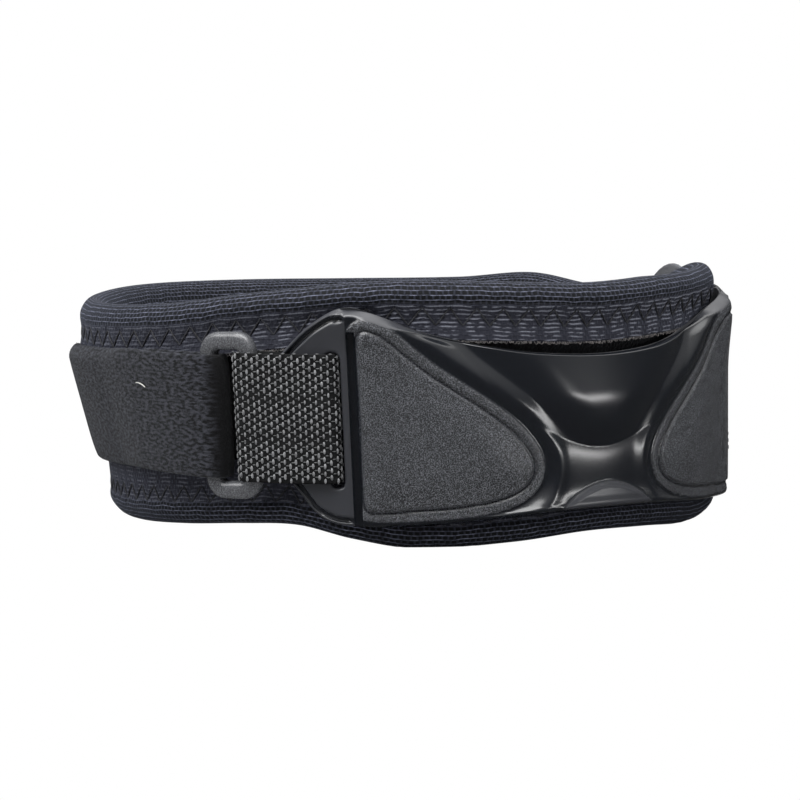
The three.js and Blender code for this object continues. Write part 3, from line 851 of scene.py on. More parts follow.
@dataclass
class PaddedRing:
    """The knitted cover round a foam core, open in front between its two hems."""

    cover_wall: float = 1.2
    gap: float = 0.3
    belly_out: float = -2.6
    belly_inset: float = 2.0
    belly_swell: float = 0.35
    columns: int = 900
    rows: tuple[int, int, int] = (36, 10, 42)
    core_columns: int = 360
    core_rows: int = 60
    belly_rows: int = 14
    nominal_radius: float = 65.0
    stitches: int = 76
    seam_start: float = 0.2
    seam_height: float = 3.4
    pucker_depth: float = 0.32
    pucker_width: float = 0.75
    thread: float = 0.3
    fray_pitch: float = 0.55
    fray_yarn: float = 0.15
    fray_seed: int = 11
    fill: float = 0.75
    # Control points from the lower hem inward: distance out, share of foot, height above the bottom
    lower: tuple[tuple[float, float, float], ...] = (
        (-2.4, 0.0, 12.6),
        (-1.7, 0.3, 5.8),
        (-0.6, 1.0, 2.6),
        (-2.4, 1.0, 0.0),
        (-5.6, 0.5, 0.0),
        (-7.7, 0.0, 2.4),
        (-8.0, 0.0, 8.0),
    )
    # And from the upper hem: distance out, shares of bead and swell, depth below the top, sink of a big bead
    upper: tuple[tuple[float, ...], ...] = (
        (-0.4, 0.0, 1.0, 11.5, 0.0),
        (-1.7, 0.9, 4.0, 6.8, 0.0),
        (-0.6, 1.0, 0.0, 2.8, 0.0),
        (-2.6, 1.0, 0.0, 0.3, 0.2),
        (-5.4, 0.5, 0.0, 0.3, 1.6),
        (-7.6, 0.0, 0.0, 2.6, 1.8),
        (-8.0, 0.0, 0.0, 8.0, 0.0),
    )

    def outline(self, angle: Array) -> Array:
        """Control points of the section, from the lower hem round the inside to the upper hem.

        Args:
            angle: degrees from the plate's middle.

        Returns:
            For each control point and angle, its distance out and its height.
        """
        names = ("bead", "foot", "swell", "bottom", "top")
        bead, foot, swell, low, high = (WALL.value(name, angle) for name in names)
        start = [np.stack([o + f * foot, low + e], -1) for o, f, e in self.lower]
        big = np.maximum(bead - 1.2, 0)
        end = [np.stack([o + b * bead + s * swell, high - e - k * big], -1) for o, b, s, e, k in self.upper]
        return np.stack(start + end[::-1])

    def __post_init__(self) -> None:
        """Measures the mean section, and where its seams lie."""
        typical = self.outline(np.linspace(-60, 60, 41)).mean(1)
        steps = np.linalg.norm(np.diff(typical, axis=0), axis=1)
        self.knots = np.concatenate([[0], np.cumsum(steps)])
        self.length = self.knots[-1]
        self.stitch = math.tau * self.nominal_radius / self.stitches
        self.lower_seam = self.knots[1]
        self.upper_seam = self.knots[-2]

    def section(self, angle: Array, run: Array, depth: float) -> Array:
        """Points of the section at some angles.

        Args:
            angle: degrees, one for each column.
            run: distance along the section from the lower hem.
            depth: how far inside the cover's face.

        Returns:
            Distance out and height, by column and by place in the section.
        """
        control = self.outline(angle)
        here = hermite(self.knots, control, run)
        step = 0.05
        ahead, behind = hermite(self.knots, control, run + step), hermite(self.knots, control, run - step)
        direction = unit(ahead - behind)
        inward = np.stack([direction[..., 1], -direction[..., 0]], -1)
        return np.swapaxes(here + inward * depth, 0, 1)

    def runs(self) -> Array:
        """Places along the section: close together where the cover shows, wide apart inside.

        Returns:
            Distances from the lower hem.
        """
        low, inner, high = self.rows
        start, end = self.knots[6], self.knots[7]
        outside = np.linspace(0, start, low, endpoint=False)
        inside = np.linspace(start, end, inner, endpoint=False)
        return np.concatenate([outside, inside, np.linspace(end, self.length, high)])

    def zigzag(self, around: Array, seam: float) -> Array:
        """Height of a zigzag seam along the section, by the distance round the ring."""
        phase = (around / self.stitch + self.seam_start) % 1
        return seam + self.seam_height * (np.abs(phase * 2 - 1) - 0.5)

    def pucker(self, around: Array, run: Array) -> Array:
        """How far the stitches draw the cover in.

        Args:
            around: distance round the ring.
            run: distance along the section.

        Returns:
            Depths in millimetres.
        """
        deep = np.zeros(np.broadcast_shapes(around.shape, run.shape))
        for seam in (self.lower_seam, self.upper_seam):
            deep += self.pucker_depth * bump(run - self.zigzag(around, seam), 0, self.pucker_width)
        return deep

    def around(self, angle: Array) -> Array:
        """Distance round the ring at its nominal radius."""
        return (angle + 180) / 360 * math.tau * self.nominal_radius

    def cover(self) -> Piece:
        """Builds the knitted cover as a closed skin.

        Returns:
            The cover.
        """
        angle = np.linspace(-180, 180, self.columns, endpoint=False)
        run = self.runs()
        face = self.section(angle, run, 0)
        depth = self.pucker(self.around(angle)[:, None], run[None])
        ahead = np.gradient(face, axis=1)
        inward = unit(np.stack([ahead[..., 1], -ahead[..., 0]], -1))
        face = face + inward * depth[..., None]
        low, high = self.rows[0], self.rows[0] + self.rows[1]
        back = np.concatenate([run[:low:5], run[low:high:3], run[high::5], run[-1:]])
        lining = self.section(angle, back, self.cover_wall)[:, ::-1]
        both = np.concatenate([face, lining], 1)
        points = WALL.point(angle[:, None], both[..., 0], np.maximum(both[..., 1], 0))
        quads = grid_quads(self.columns, both.shape[1], True, True)
        marks = np.concatenate([run, back[::-1], run[:1]])
        turn = np.linspace(0, math.tau * self.nominal_radius, self.columns + 1)
        uv = np.stack([turn[quads[..., 1]], marks[quads[..., 2]]], -1)
        return make_mesh("knit_cover_skin", points, quads[..., 0][:, ::-1], uv[:, ::-1])

    def core(self) -> Piece:
        """Builds the foam core with its plush face pressed in between the hems.

        Returns:
            The core.
        """
        angle = np.linspace(-180, 180, self.core_columns, endpoint=False)
        run = np.linspace(0, self.length, self.core_rows)
        inside = self.section(angle, run, self.cover_wall + self.gap)
        low = WALL.value("bottom", angle) + self.lower[0][2] + self.belly_inset
        high = WALL.value("top", angle) - self.upper[0][3] - self.belly_inset
        share = np.linspace(0, 1, self.belly_rows)
        heights = high[:, None] + (low - high)[:, None] * share
        swell = self.belly_swell * np.sin(np.pi * share)[None] + 0 * heights
        belly = np.stack([self.belly_out + swell, heights], -1)
        both = np.concatenate([inside, belly], 1)
        points = WALL.point(angle[:, None], both[..., 0], np.maximum(both[..., 1], 0.3))
        quads = grid_quads(len(angle), both.shape[1], True, True)
        return make_mesh("foam_core_pad", points, quads[..., 0][:, ::-1])

    def surface(self, angle: Array, run: Array, lift: Array) -> Array:
        """Points on the cover at pairs of angle and place, lifted off it.

        Args:
            angle: degrees from the plate's middle.
            run: distance along the section.
            lift: distance off the cover.

        Returns:
            Points in millimetres.
        """
        spots = [self.section(np.array([a]), np.array([r]), -up)[0, 0] for a, r, up in zip(angle, run, lift)]
        spots = np.array(spots)
        return WALL.point(angle, spots[:, 0], spots[:, 1])

    def stitch_lines(self, seam: float) -> Array:
        """Lines of the zigzag stitches on one seam.

        Args:
            seam: the seam's place along the section.

        Returns:
            Points by stitch and by place in it.
        """
        legs = 2 * self.stitches
        share = np.linspace(0.02, 0.98, 7)
        whole = ((np.arange(legs)[:, None] + share) / 2 - self.seam_start) * self.stitch
        angle = whole.ravel() / (self.stitches * self.stitch) * 360 - 180
        run = self.zigzag(whole.ravel(), seam)
        lift = np.tile(np.sin(np.pi * share) * 0.3 - self.pucker_depth, legs)
        return self.surface(angle, run, lift).reshape(legs, len(share), 3)

    def seams(self, material: Material) -> Piece:
        """Sews the two zigzag seams."""
        lines = [self.stitch_lines(seam) for seam in (self.lower_seam, self.upper_seam)]
        return sew("zigzag_seams", np.concatenate(lines), self.thread / 2, material)

    def fray(self, material: Material) -> Piece:
        """Leaves small cut loops of yarn along the upper hem.

        Args:
            material: the yarn's finish.

        Returns:
            The loops.
        """
        rng = np.random.default_rng(self.fray_seed)
        count = int(math.tau * self.nominal_radius / self.fray_pitch)
        angle = np.linspace(-180, 180, count, endpoint=False) + rng.normal(0, 0.12, count)
        share = np.linspace(0, 1, 6)
        size = rng.uniform(0.25, 0.6, count)
        lean = rng.normal(0, 0.5, count)
        sweep = (share[None] * 2 - 1) * size[:, None] * 0.8 + lean[:, None] * share[None] * 0.4
        drop = np.sin(np.pi * share)[None] * size[:, None] - 0.15
        at = (angle[:, None] + np.degrees(sweep / self.nominal_radius)).ravel()
        run = np.full(at.shape, self.length)
        lift = (np.sin(np.pi * share)[None] * rng.uniform(-0.1, 0.35, count)[:, None]).ravel()
        points = self.surface(at, run, lift)
        points[:, 2] -= drop.ravel()
        return sew("hem_fray", points.reshape(count, len(share), 3), self.fray_yarn / 2, material)

    def build(self) -> None:
        """Builds the cover, the core, the seams and the hem, and dresses them."""
        seams = (self.lower_seam, self.upper_seam)
        knit = WarpKnit(seams, self.stitch, self.seam_start, float(self.around(np.float64(0)))).build()
        cover = settle(self.cover(), Slot.KNIT, knit)
        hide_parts("knit_cover")
        core = settle(self.core(), Slot.FOAM, Plush("brushed_foam_face", "17181b", "08080a").build())
        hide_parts("foam_core")
        thread = Yarn("polyester_thread", "292a30", "0d0d10", roughness=0.8, sheen=0.0).build()
        settle(self.seams(thread), Slot.KNIT)
        settle(self.fray(Yarn("cut_knit_yarn", "55504f", "2c2a2b").build()), Slot.KNIT)


# The moulded plate


@dataclass
class PlateGrid:
    """Places on the plate's face, by column and row, and their distances from its features in millimetres.

    nominal is a column's angle before the plate's ends lean, and angle is the true one.
    """

    nominal: Array
    angle: Array
    height: Array
    from_low: Array
    from_high: Array
    from_end: Array
    panel: Array
    slot: Array

    @property
    def column(self) -> Array:
        """Degrees of each column from the plate's middle, before the ends lean."""
        return np.abs(self.nominal)[:, None]

    @property
    def away(self) -> Array:
        """Degrees of each place from the plate's middle."""
        return np.abs(self.angle)

    @property
    def from_edge(self) -> Array:
        """Distance from the nearest edge."""
        return np.minimum(np.minimum(self.from_low, self.from_high), self.from_end)


@dataclass
class FrontPlate:
    """The moulded plate: a glossy saddle between two grained wing panels, slotted at each end."""

    seat: float = 0.3
    end_lift: float = 2.2
    lift_from: float = 34.0
    lift_to: float = 44.0
    flare: float = 1.2
    flare_from: float = 30.0
    flare_to: float = 40.0
    flare_low: float = 30.0
    flare_slot_low: float = 37.5
    flare_high: float = 47.0
    lean: float = 0.044
    level: float = 25.0
    edge: float = 0.35
    body: float = 2.5
    frame: float = 1.9
    lip_face: float = 0.9
    bevel: float = 0.2
    bevel_gain: float = 1.35
    bevel_loss: float = 0.95
    # Degrees from the middle where the bevel widens and narrows, and the body thins and rounds its lower edge
    bevel_widens: tuple[float, float] = (32.5, 38.5)
    bevel_narrows: tuple[float, float] = (44.0, 46.5)
    body_thins: tuple[float, float] = (40.5, 42.0)
    edge_rounds: tuple[float, float] = (36.0, 41.0)
    end_angle: float = 55.5
    slot_from: float = 44.65
    slot_to: float = 47.1
    slot_low: float = 12.0
    slot_high: float = 37.9
    slot_corner: float = 1.3
    groove_from: float = 42.15
    groove_to: float = 43.45
    groove_high: float = 42.0
    groove_floor: float = 0.8
    strip: float = 2.2
    crest: float = 5.9
    strip_rise: float = 0.42
    line_depth: float = 0.42
    line_place: float = -0.1
    line_width: float = 0.3
    pad_rise: float = 0.3
    pad_crown: float = 0.55
    valley_depth: float = 0.9
    lip_bead: float = 0.6
    dome_rise: float = 1.55
    dome_foot: float = 18.9
    dome_bend: float = 0.022
    dome_edge: float = 4.5
    apex: float = 26.0
    apex_bend: float = 0.026
    apex_run: float = 4.0
    crest_rise: float = 0.45
    cove_rise: float = 0.85
    fillet_rise: float = 0.6
    moon_foot: float = 7.3
    moon_height: float = 4.6
    moon_middle: float = 0.8
    moon_half: float = 9.2
    moon_rise: float = 0.6
    # Angle from the middle, height of the lower edge, and of the upper edge on the left and on the right
    outline: tuple[tuple[float, float, float, float], ...] = (
        (0, 6.2, 36.7, 36.7),
        (12, 5.9, 37.4, 37.4),
        (20, 5.3, 38.7, 38.7),
        (28, 4.6, 40.5, 40.5),
        (33, 4.3, 42.1, 42.1),
        (38, 4.2, 44.5, 44.4),
        (41, 4.5, 45.8, 45.8),
        (43.5, 4.7, 46.5, 46.7),
        (46, 5.1, 46.0, 47.2),
        (49, 6.9, 44.0, 47.3),
        (52, 11.0, 41.2, 46.0),
        (55.5, 16.0, 37.0, 42.0),
    )
    # Angle and height of the points round a wing panel
    panel: tuple[tuple[float, float], ...] = (
        (41.3, 42.1),
        (39.4, 41.6),
        (37.6, 40.2),
        (34.7, 37.2),
        (30.8, 33.6),
        (26.8, 30.5),
        (22.7, 27.4),
        (18.6, 23.9),
        (15.9, 21.0),
        (13.9, 17.9),
        (13.2, 15.3),
        (13.9, 12.7),
        (16.0, 10.8),
        (19.4, 9.4),
        (24.0, 8.5),
        (32.0, 7.8),
        (40.2, 7.4),
        (41.2, 9.2),
        (41.8, 25.0),
        (42.5, 40.6),
    )

    def columns(self) -> Array:
        """Angles of the plate's columns, closer together at its ends, slots and grooves.

        Returns:
            Degrees from the plate's middle, rising.
        """
        even = np.arange(0, self.end_angle - 0.6, 0.3)
        ends = self.end_angle - np.array([0, 0.06, 0.15, 0.28, 0.45, 0.65])
        cuts = [self.groove_from, self.groove_to, self.slot_from, self.slot_to]
        near = np.concatenate([np.array([-0.12, 0, 0.12]) + cut for cut in cuts])
        half = np.unique(np.round(np.concatenate([even, ends, near]), 3))
        half = half[np.concatenate([[True], np.diff(half) > 0.05])]
        return np.concatenate([-half[:0:-1], half])

    def edges(self, angle: Array) -> tuple[Array, Array]:
        """Heights of the plate's lower and upper edges.

        Args:
            angle: degrees from the plate's middle.

        Returns:
            The lower edge's heights and the upper edge's.
        """
        rows = np.array(self.outline)
        both_sides = np.concatenate([rows[:0:-1, :3] * (-1, 1, 1), rows[:, [0, 1, 3]]])
        both = hermite(both_sides[:, 0], both_sides[:, 1:], angle)
        return both[:, 0], both[:, 1]

    def leaning(self, nominal: Array) -> Array:
        """Degrees outward for each millimetre of height, at the plate's ends."""
        return np.sign(nominal) * smoothstep(np.abs(nominal), 33, 41) * np.degrees(self.lean / WALL.unroll)

    def panel_border(self) -> Array:
        """A fine closed line round a wing panel, on the unrolled wall.

        Returns:
            Its points: distance along the wall, and height.
        """
        rows = np.array(self.panel)
        line = np.stack([WALL.along(rows[:, 0]), rows[:, 1]], -1)
        closed = np.concatenate([line[-2:], line, line[:3]])
        knots = np.concatenate([[0], np.cumsum(np.linalg.norm(np.diff(closed, axis=0), axis=1))])
        return hermite(knots, closed, np.linspace(knots[2], knots[-3], 260))

    def inside_panel(self, along: Array, height: Array) -> Array:
        """Distance inside the nearer wing panel, negative outside it.

        Args:
            along: distance along the wall from the plate's middle.
            height: height above the floor.

        Returns:
            Signed distances in millimetres.
        """
        border = self.panel_border()
        here = np.stack([np.abs(along), height], -1)[..., None, :]
        start, step = border[:-1], np.diff(border, axis=0)
        share = np.clip(((here - start) * step).sum(-1) / (step**2).sum(-1), 0, 1)
        away = np.linalg.norm(start + share[..., None] * step - here, axis=-1).min(-1)
        low, high = border[:-1, 1], border[1:, 1]
        level = here[..., 1]
        crosses = (low > level) != (high > level)
        rise = np.where(high == low, 1, high - low)
        at = start[:, 0] + (level - low) / rise * step[:, 0]
        inside = (crosses & (here[..., 0] < at)).sum(-1) % 2 == 1
        return np.where(inside, away, -away)

    def in_slot(self, along: Array, height: Array) -> Array:
        """Signed distance from the rounded slot, negative inside it.

        Args:
            along: distance along the wall from the plate's middle.
            height: height above the floor.

        Returns:
            Distances in millimetres.
        """
        left, right = WALL.along(self.slot_from), WALL.along(self.slot_to)
        half = np.array([(right - left) / 2, (self.slot_high - self.slot_low) / 2]) - self.slot_corner
        middle = np.array([(right + left) / 2, (self.slot_high + self.slot_low) / 2])
        q = np.abs(np.stack([np.abs(along), height], -1) - middle) - half
        outside = np.linalg.norm(np.maximum(q, 0), axis=-1)
        return outside + np.minimum(q.max(-1), 0) - self.slot_corner

    def inner_face(self, angle: Array, height: Array) -> Array:
        """The plate's back, which lifts off the pad towards its ends and flares at its upper corners.

        Args:
            angle: degrees from the plate's middle.
            height: height above the floor.

        Returns:
            Distance out from the pad's nominal face.
        """
        away = np.abs(angle)
        lift = self.seat + (self.end_lift - self.seat) * smoothstep(away, self.lift_from, self.lift_to)
        past_groove = smoothstep(away, self.groove_from - 1, self.groove_to)
        start = self.flare_low + (self.flare_slot_low - self.flare_low) * past_groove
        towards_end = smoothstep(away, self.flare_from, self.flare_to)
        return lift + self.flare * towards_end * smoothstep(height, start, self.flare_high)

    def lay_out(self) -> PlateGrid:
        """Spreads the grid of places over the plate's face.

        Returns:
            The grid.
        """
        nominal = self.columns()
        lean = self.leaning(nominal)
        low = high = np.full_like(nominal, self.level)
        for _ in range(4):
            low = self.edges(nominal + lean * (low - self.level))[0]
            high = self.edges(nominal + lean * (high - self.level))[1]
        near = np.array([0, 0.07, 0.17, 0.3, 0.46, 0.66, 0.9, 1.18, 1.5, 1.86, 2.26])
        share = np.linspace(0, 1, 92)[1:-1]
        first, last = low[:, None] + near, high[:, None] - near[::-1]
        middle = first[:, -1:] + (last[:, :1] - first[:, -1:]) * share
        height = np.concatenate([first, middle, last], 1)
        angle = nominal[:, None] + lean[:, None] * (height - self.level)
        along = WALL.along(nominal)
        slopes = [np.cos(np.arctan(np.gradient(side, along)))[:, None] for side in (low, high)]
        return PlateGrid(
            nominal=nominal,
            angle=angle,
            height=height,
            from_low=(height - low[:, None]) * slopes[0],
            from_high=(high[:, None] - height) * slopes[1],
            from_end=WALL.along(self.end_angle - np.abs(nominal))[:, None] + 0 * height,
            panel=self.inside_panel(WALL.along(angle), height),
            slot=self.in_slot(along[:, None] + 0 * height, height),
        )

    def face(self, grid: PlateGrid) -> tuple[Array, Array, Array]:
        """Models the outer face.

        Args:
            grid: places on the plate.

        Returns:
            Distance out from the pad's nominal face, how grained the face is, and how satin it is and
            lightened with painted light.
        """
        widened = smoothstep(grid.away, *self.bevel_widens)
        narrowed = smoothstep(-grid.angle, *self.bevel_narrows)
        bevel = self.bevel + self.bevel_gain * widened - self.bevel_loss * narrowed
        out, in_frame, groove, valley = self.framed(grid, self.edged(grid, bevel))
        # The panels and the saddle end at the grooves
        above_groove = smoothstep(grid.height, self.groove_high - 0.3, self.groove_high + 0.1)
        beyond = smoothstep(grid.column, self.groove_from - 0.15, self.groove_from) * (1 - above_groove)
        zone = 1 - np.maximum(beyond, smoothstep(grid.column, 42.6, 44.8))
        out = self.saddled(grid, self.panelled(grid, out, bevel, zone), zone)
        out, moon = self.bossed(grid, out)
        out = out - 0.35 * (1 - quarter(np.clip(grid.slot, 0, None) / 0.45))
        # Grain on the panels but for their engraved line, left dark gloss as painted shade; satin on the slot
        # frames, the rim and the boss, its lighter grey partly painted light, taken off in the grooves and
        # valleys as painted shade
        grain = smoothstep(grid.panel, -self.strip - 0.1, -self.strip + 0.15) * zone * (1 - groove)
        grain = grain * (1 - 0.85 * bump(grid.panel, self.line_place, self.line_width))
        grain = grain * smoothstep(grid.from_low, 1.3, 1.6) * smoothstep(grid.from_high, bevel, bevel + 0.3)
        band = (1 - smoothstep(grid.from_high, bevel - 0.1, bevel + 0.1)) * smoothstep(grid.away, 28, 33)
        satin = np.maximum(0.75 * in_frame, band) * (1 - 0.8 * groove) * (1 - 0.8 * valley * in_frame)
        return out, grain, np.clip(np.maximum(satin, 0.75 * moon), 0, 1)

    def edged(self, grid: PlateGrid, bevel: Array) -> Array:
        """Models the body with a face that looks up along the rim and one that looks down along the lip.

        Args:
            grid: places on the plate.
            bevel: width of the face along the rim.

        Returns:
            Distance out from the pad's nominal face.
        """
        wing = smoothstep(grid.column, *self.body_thins)
        turned = smoothstep(grid.column, *self.edge_rounds)
        body = self.body + (self.frame - self.body) * wing
        lip = np.clip(grid.from_low / self.lip_face, 0, 1)
        rounded = np.minimum(lip + (quarter(lip) - lip) * turned, quarter(grid.from_end / 0.6))
        rounded = np.minimum(rounded, np.clip(grid.from_high / bevel, 0, 1))
        out = self.inner_face(grid.angle, grid.height) + self.edge + (body - self.edge) * rounded
        crease = np.exp(-((np.maximum(grid.from_low - self.lip_face, 0) / 0.55) ** 2)) * (1 - wing)
        return out + self.lip_bead * lip * crease * (1 - 0.5 * turned)

    def framed(self, grid: PlateGrid, out: Array) -> tuple[Array, ...]:
        """Models the slot frames: a rim, a dark valley and a flat frame past a groove, plainer on the right.

        Args:
            grid: places on the plate.
            out: the face so far.

        Returns:
            The face, and how far each place is in a frame, in its groove and in its valley.
        """
        from_edge = grid.from_edge
        in_frame = smoothstep(grid.column, self.groove_to - 0.1, self.groove_to + 0.1)
        upper_rim = 1.3 - 0.75 * smoothstep(grid.column, 44, 46.5)
        rim = np.where(grid.from_low < grid.from_high, 0.5, upper_rim)
        valley = smoothstep(from_edge, rim, rim + 0.25) - smoothstep(from_edge, rim + 1.0, rim + 1.35)
        shown = smoothstep(-grid.nominal[:, None], self.groove_to - 0.1, self.groove_to + 1.0)
        out = out - self.valley_depth * valley * shown
        groove = smoothstep(grid.column, self.groove_from - 0.1, self.groove_from + 0.12) - in_frame
        below = 1 - smoothstep(grid.height, self.groove_high - 0.5, self.groove_high)
        groove = np.clip(groove * below, 0, 1)
        floor = self.inner_face(grid.angle, grid.height) + self.groove_floor
        return out - groove * np.maximum(out - floor, 0), in_frame, groove, valley

    def panelled(self, grid: PlateGrid, out: Array, bevel: Array, zone: Array) -> Array:
        """Models the wing panels: a raised strip, an engraved line and a padded field.

        Args:
            grid: places on the plate.
            out: the face so far.
            bevel: width of the face along the rim.
            zone: 1 between the two grooves and 0 beyond them.

        Returns:
            The face.
        """
        panel = grid.panel
        inset = smoothstep(grid.from_high, bevel * 0.8, bevel + 1.5) * smoothstep(grid.from_low, 0.9, 1.5)
        inset = inset * (1 - 0.15 * smoothstep(grid.nominal[:, None], 37.0, 41.5))
        strip = smoothstep(panel, -self.strip - 0.25, -self.strip + 0.2) * zone
        line = bump(panel, self.line_place, self.line_width) * zone * inset
        field = self.pad_rise * smoothstep(panel, -0.1, 0.55) + self.pad_crown * smoothstep(panel, 0.2, 6.5)
        return out + inset * (self.strip_rise * strip + field * zone) - self.line_depth * line

    def saddled(self, grid: PlateGrid, out: Array, zone: Array) -> Array:
        """Models the saddle: a shield-shaped dome, a crest along each panel and a cove above the lower lip.

        Args:
            grid: places on the plate.
            out: the face so far.
            zone: 1 between the two grooves and 0 beyond them.

        Returns:
            The face.
        """
        along, panel, sharp = WALL.along(grid.angle), grid.panel, self.dome_edge
        arc = self.dome_foot + self.dome_bend * along**2
        above = (grid.height - arc) / np.sqrt(1 + (2 * self.dome_bend * along) ** 2)
        inside = -np.logaddexp(-sharp * above / 6.0, sharp * (panel + self.crest + 1.6) / 8.0) / sharp
        dome = self.dome_rise * (1 - (1 - np.clip(inside, 0, 1)) ** 2)
        # The rim falls back above the apex: along a curve, then straight
        past_apex = np.clip(grid.height - self.apex, 0, None)
        bent = np.minimum(past_apex, self.apex_run)
        fall = self.apex_bend * bent * (2 * past_apex - bent)
        out = out + (dome - fall * smoothstep(-panel, self.strip, self.crest + 4.0)) * zone
        crest = self.crest_rise * bump(panel, -self.crest + 0.7, 1.8)
        cove = self.cove_rise * (1 - np.exp(-np.clip(-above, 0, None) / 3.6))
        cove = cove * smoothstep(-panel, self.strip, self.crest)
        fillet = self.fillet_rise * np.exp(-((np.maximum(grid.from_low - 1.2, 0) / 2.4) ** 2))
        fillet = fillet * (1 - smoothstep(grid.column, 12, 22))
        return out + smoothstep(grid.from_edge, 0.3, 1.6) * (crest + cove + fillet) * zone

    def bossed(self, grid: PlateGrid, out: Array) -> tuple[Array, Array]:
        """Models the half-moon boss: two steps along its arch and a face that leans back to the lip.

        Args:
            grid: places on the plate.
            out: the face so far.

        Returns:
            The face, and how far each place is on the boss.
        """
        bow = 1 - ((grid.angle - self.moon_middle) / self.moon_half) ** 2
        bow = self.moon_foot + self.moon_height * bow - grid.height
        moon = smoothstep(bow, -0.1, 0.2) * smoothstep(grid.from_low, 1.0, 1.3)
        step = 0.6 + 0.4 * smoothstep(bow, 0.7, 1.0)
        return out + self.moon_rise * moon * step * np.clip((grid.height - 6.4) / 3.0, 0.2, 1), moon

    def build(self) -> None:
        """Builds the plate as one closed skin and dresses it."""
        grid = self.lay_out()
        out, grain, satin = self.face(grid)

        # The slot's ragged border snaps to its rounded outline
        deep = grid.slot < -0.02
        keep = ~(deep[:-1, :-1] & deep[1:, :-1] & deep[:-1, 1:] & deep[1:, 1:])
        move = np.where(deep, -grid.slot, 0)
        along, height, step = WALL.along(grid.nominal)[:, None] + 0 * grid.height, grid.height, 0.02
        toward_s = (self.in_slot(along + step, height) - self.in_slot(along - step, height)) / (2 * step)
        toward_h = (self.in_slot(along, height + step) - self.in_slot(along, height - step)) / (2 * step)
        height = height + move * toward_h
        lean = self.leaning(grid.nominal)[:, None] * (height - self.level)
        angle = grid.nominal[:, None] + np.degrees(move * toward_s / WALL.unroll) + lean
        inner = self.inner_face(angle, height) + 0.25 * (1 - quarter(grid.from_edge / 0.4))
        faces = self.closed_skin(keep)
        points = np.concatenate([WALL.point(angle, face, height).reshape(-1, 3) for face in (out, inner)])
        used, fresh = np.unique(faces, return_inverse=True)
        masks = {"grain": np.concatenate([grain.ravel(), 0 * grain.ravel()])[used]}
        masks["satin"] = np.concatenate([satin.ravel(), 1 + 0 * satin.ravel()])[used]
        plate = make_mesh("front_plate_shell", points[used], fresh.reshape(-1, 4), None, masks)
        settle(plate, Slot.PLATE, MouldedPlate().build())
        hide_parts("front_plate")

    @staticmethod
    def closed_skin(keep: Array) -> Array:
        """Numbers the quads of two facing grids and of the walls round their open cells.

        Args:
            keep: which cells are there.

        Returns:
            Quads of vertex numbers, the outer grid's points before the inner grid's.
        """
        columns, rows = keep.shape[0] + 1, keep.shape[1] + 1
        number = np.arange(columns * rows).reshape(columns, rows)
        cell = [number[:-1, :-1], number[1:, :-1], number[1:, 1:], number[:-1, 1:]]
        front = np.stack(cell, -1)[keep]
        shift = columns * rows
        around = np.pad(keep, 1)
        walls = []
        sides = {(-1, 0): (3, 0), (1, 0): (1, 2), (0, -1): (0, 1), (0, 1): (2, 3)}
        for (di, dk), (p, q) in sides.items():
            open_side = keep & ~around[1 + di : columns + di, 1 + dk : rows + dk]
            a, b = cell[p][open_side], cell[q][open_side]
            walls.append(np.stack([b, a, a + shift, b + shift], -1))
        return np.concatenate([front, front[:, ::-1] + shift, *walls])


# Bands: the strap and the woven loops


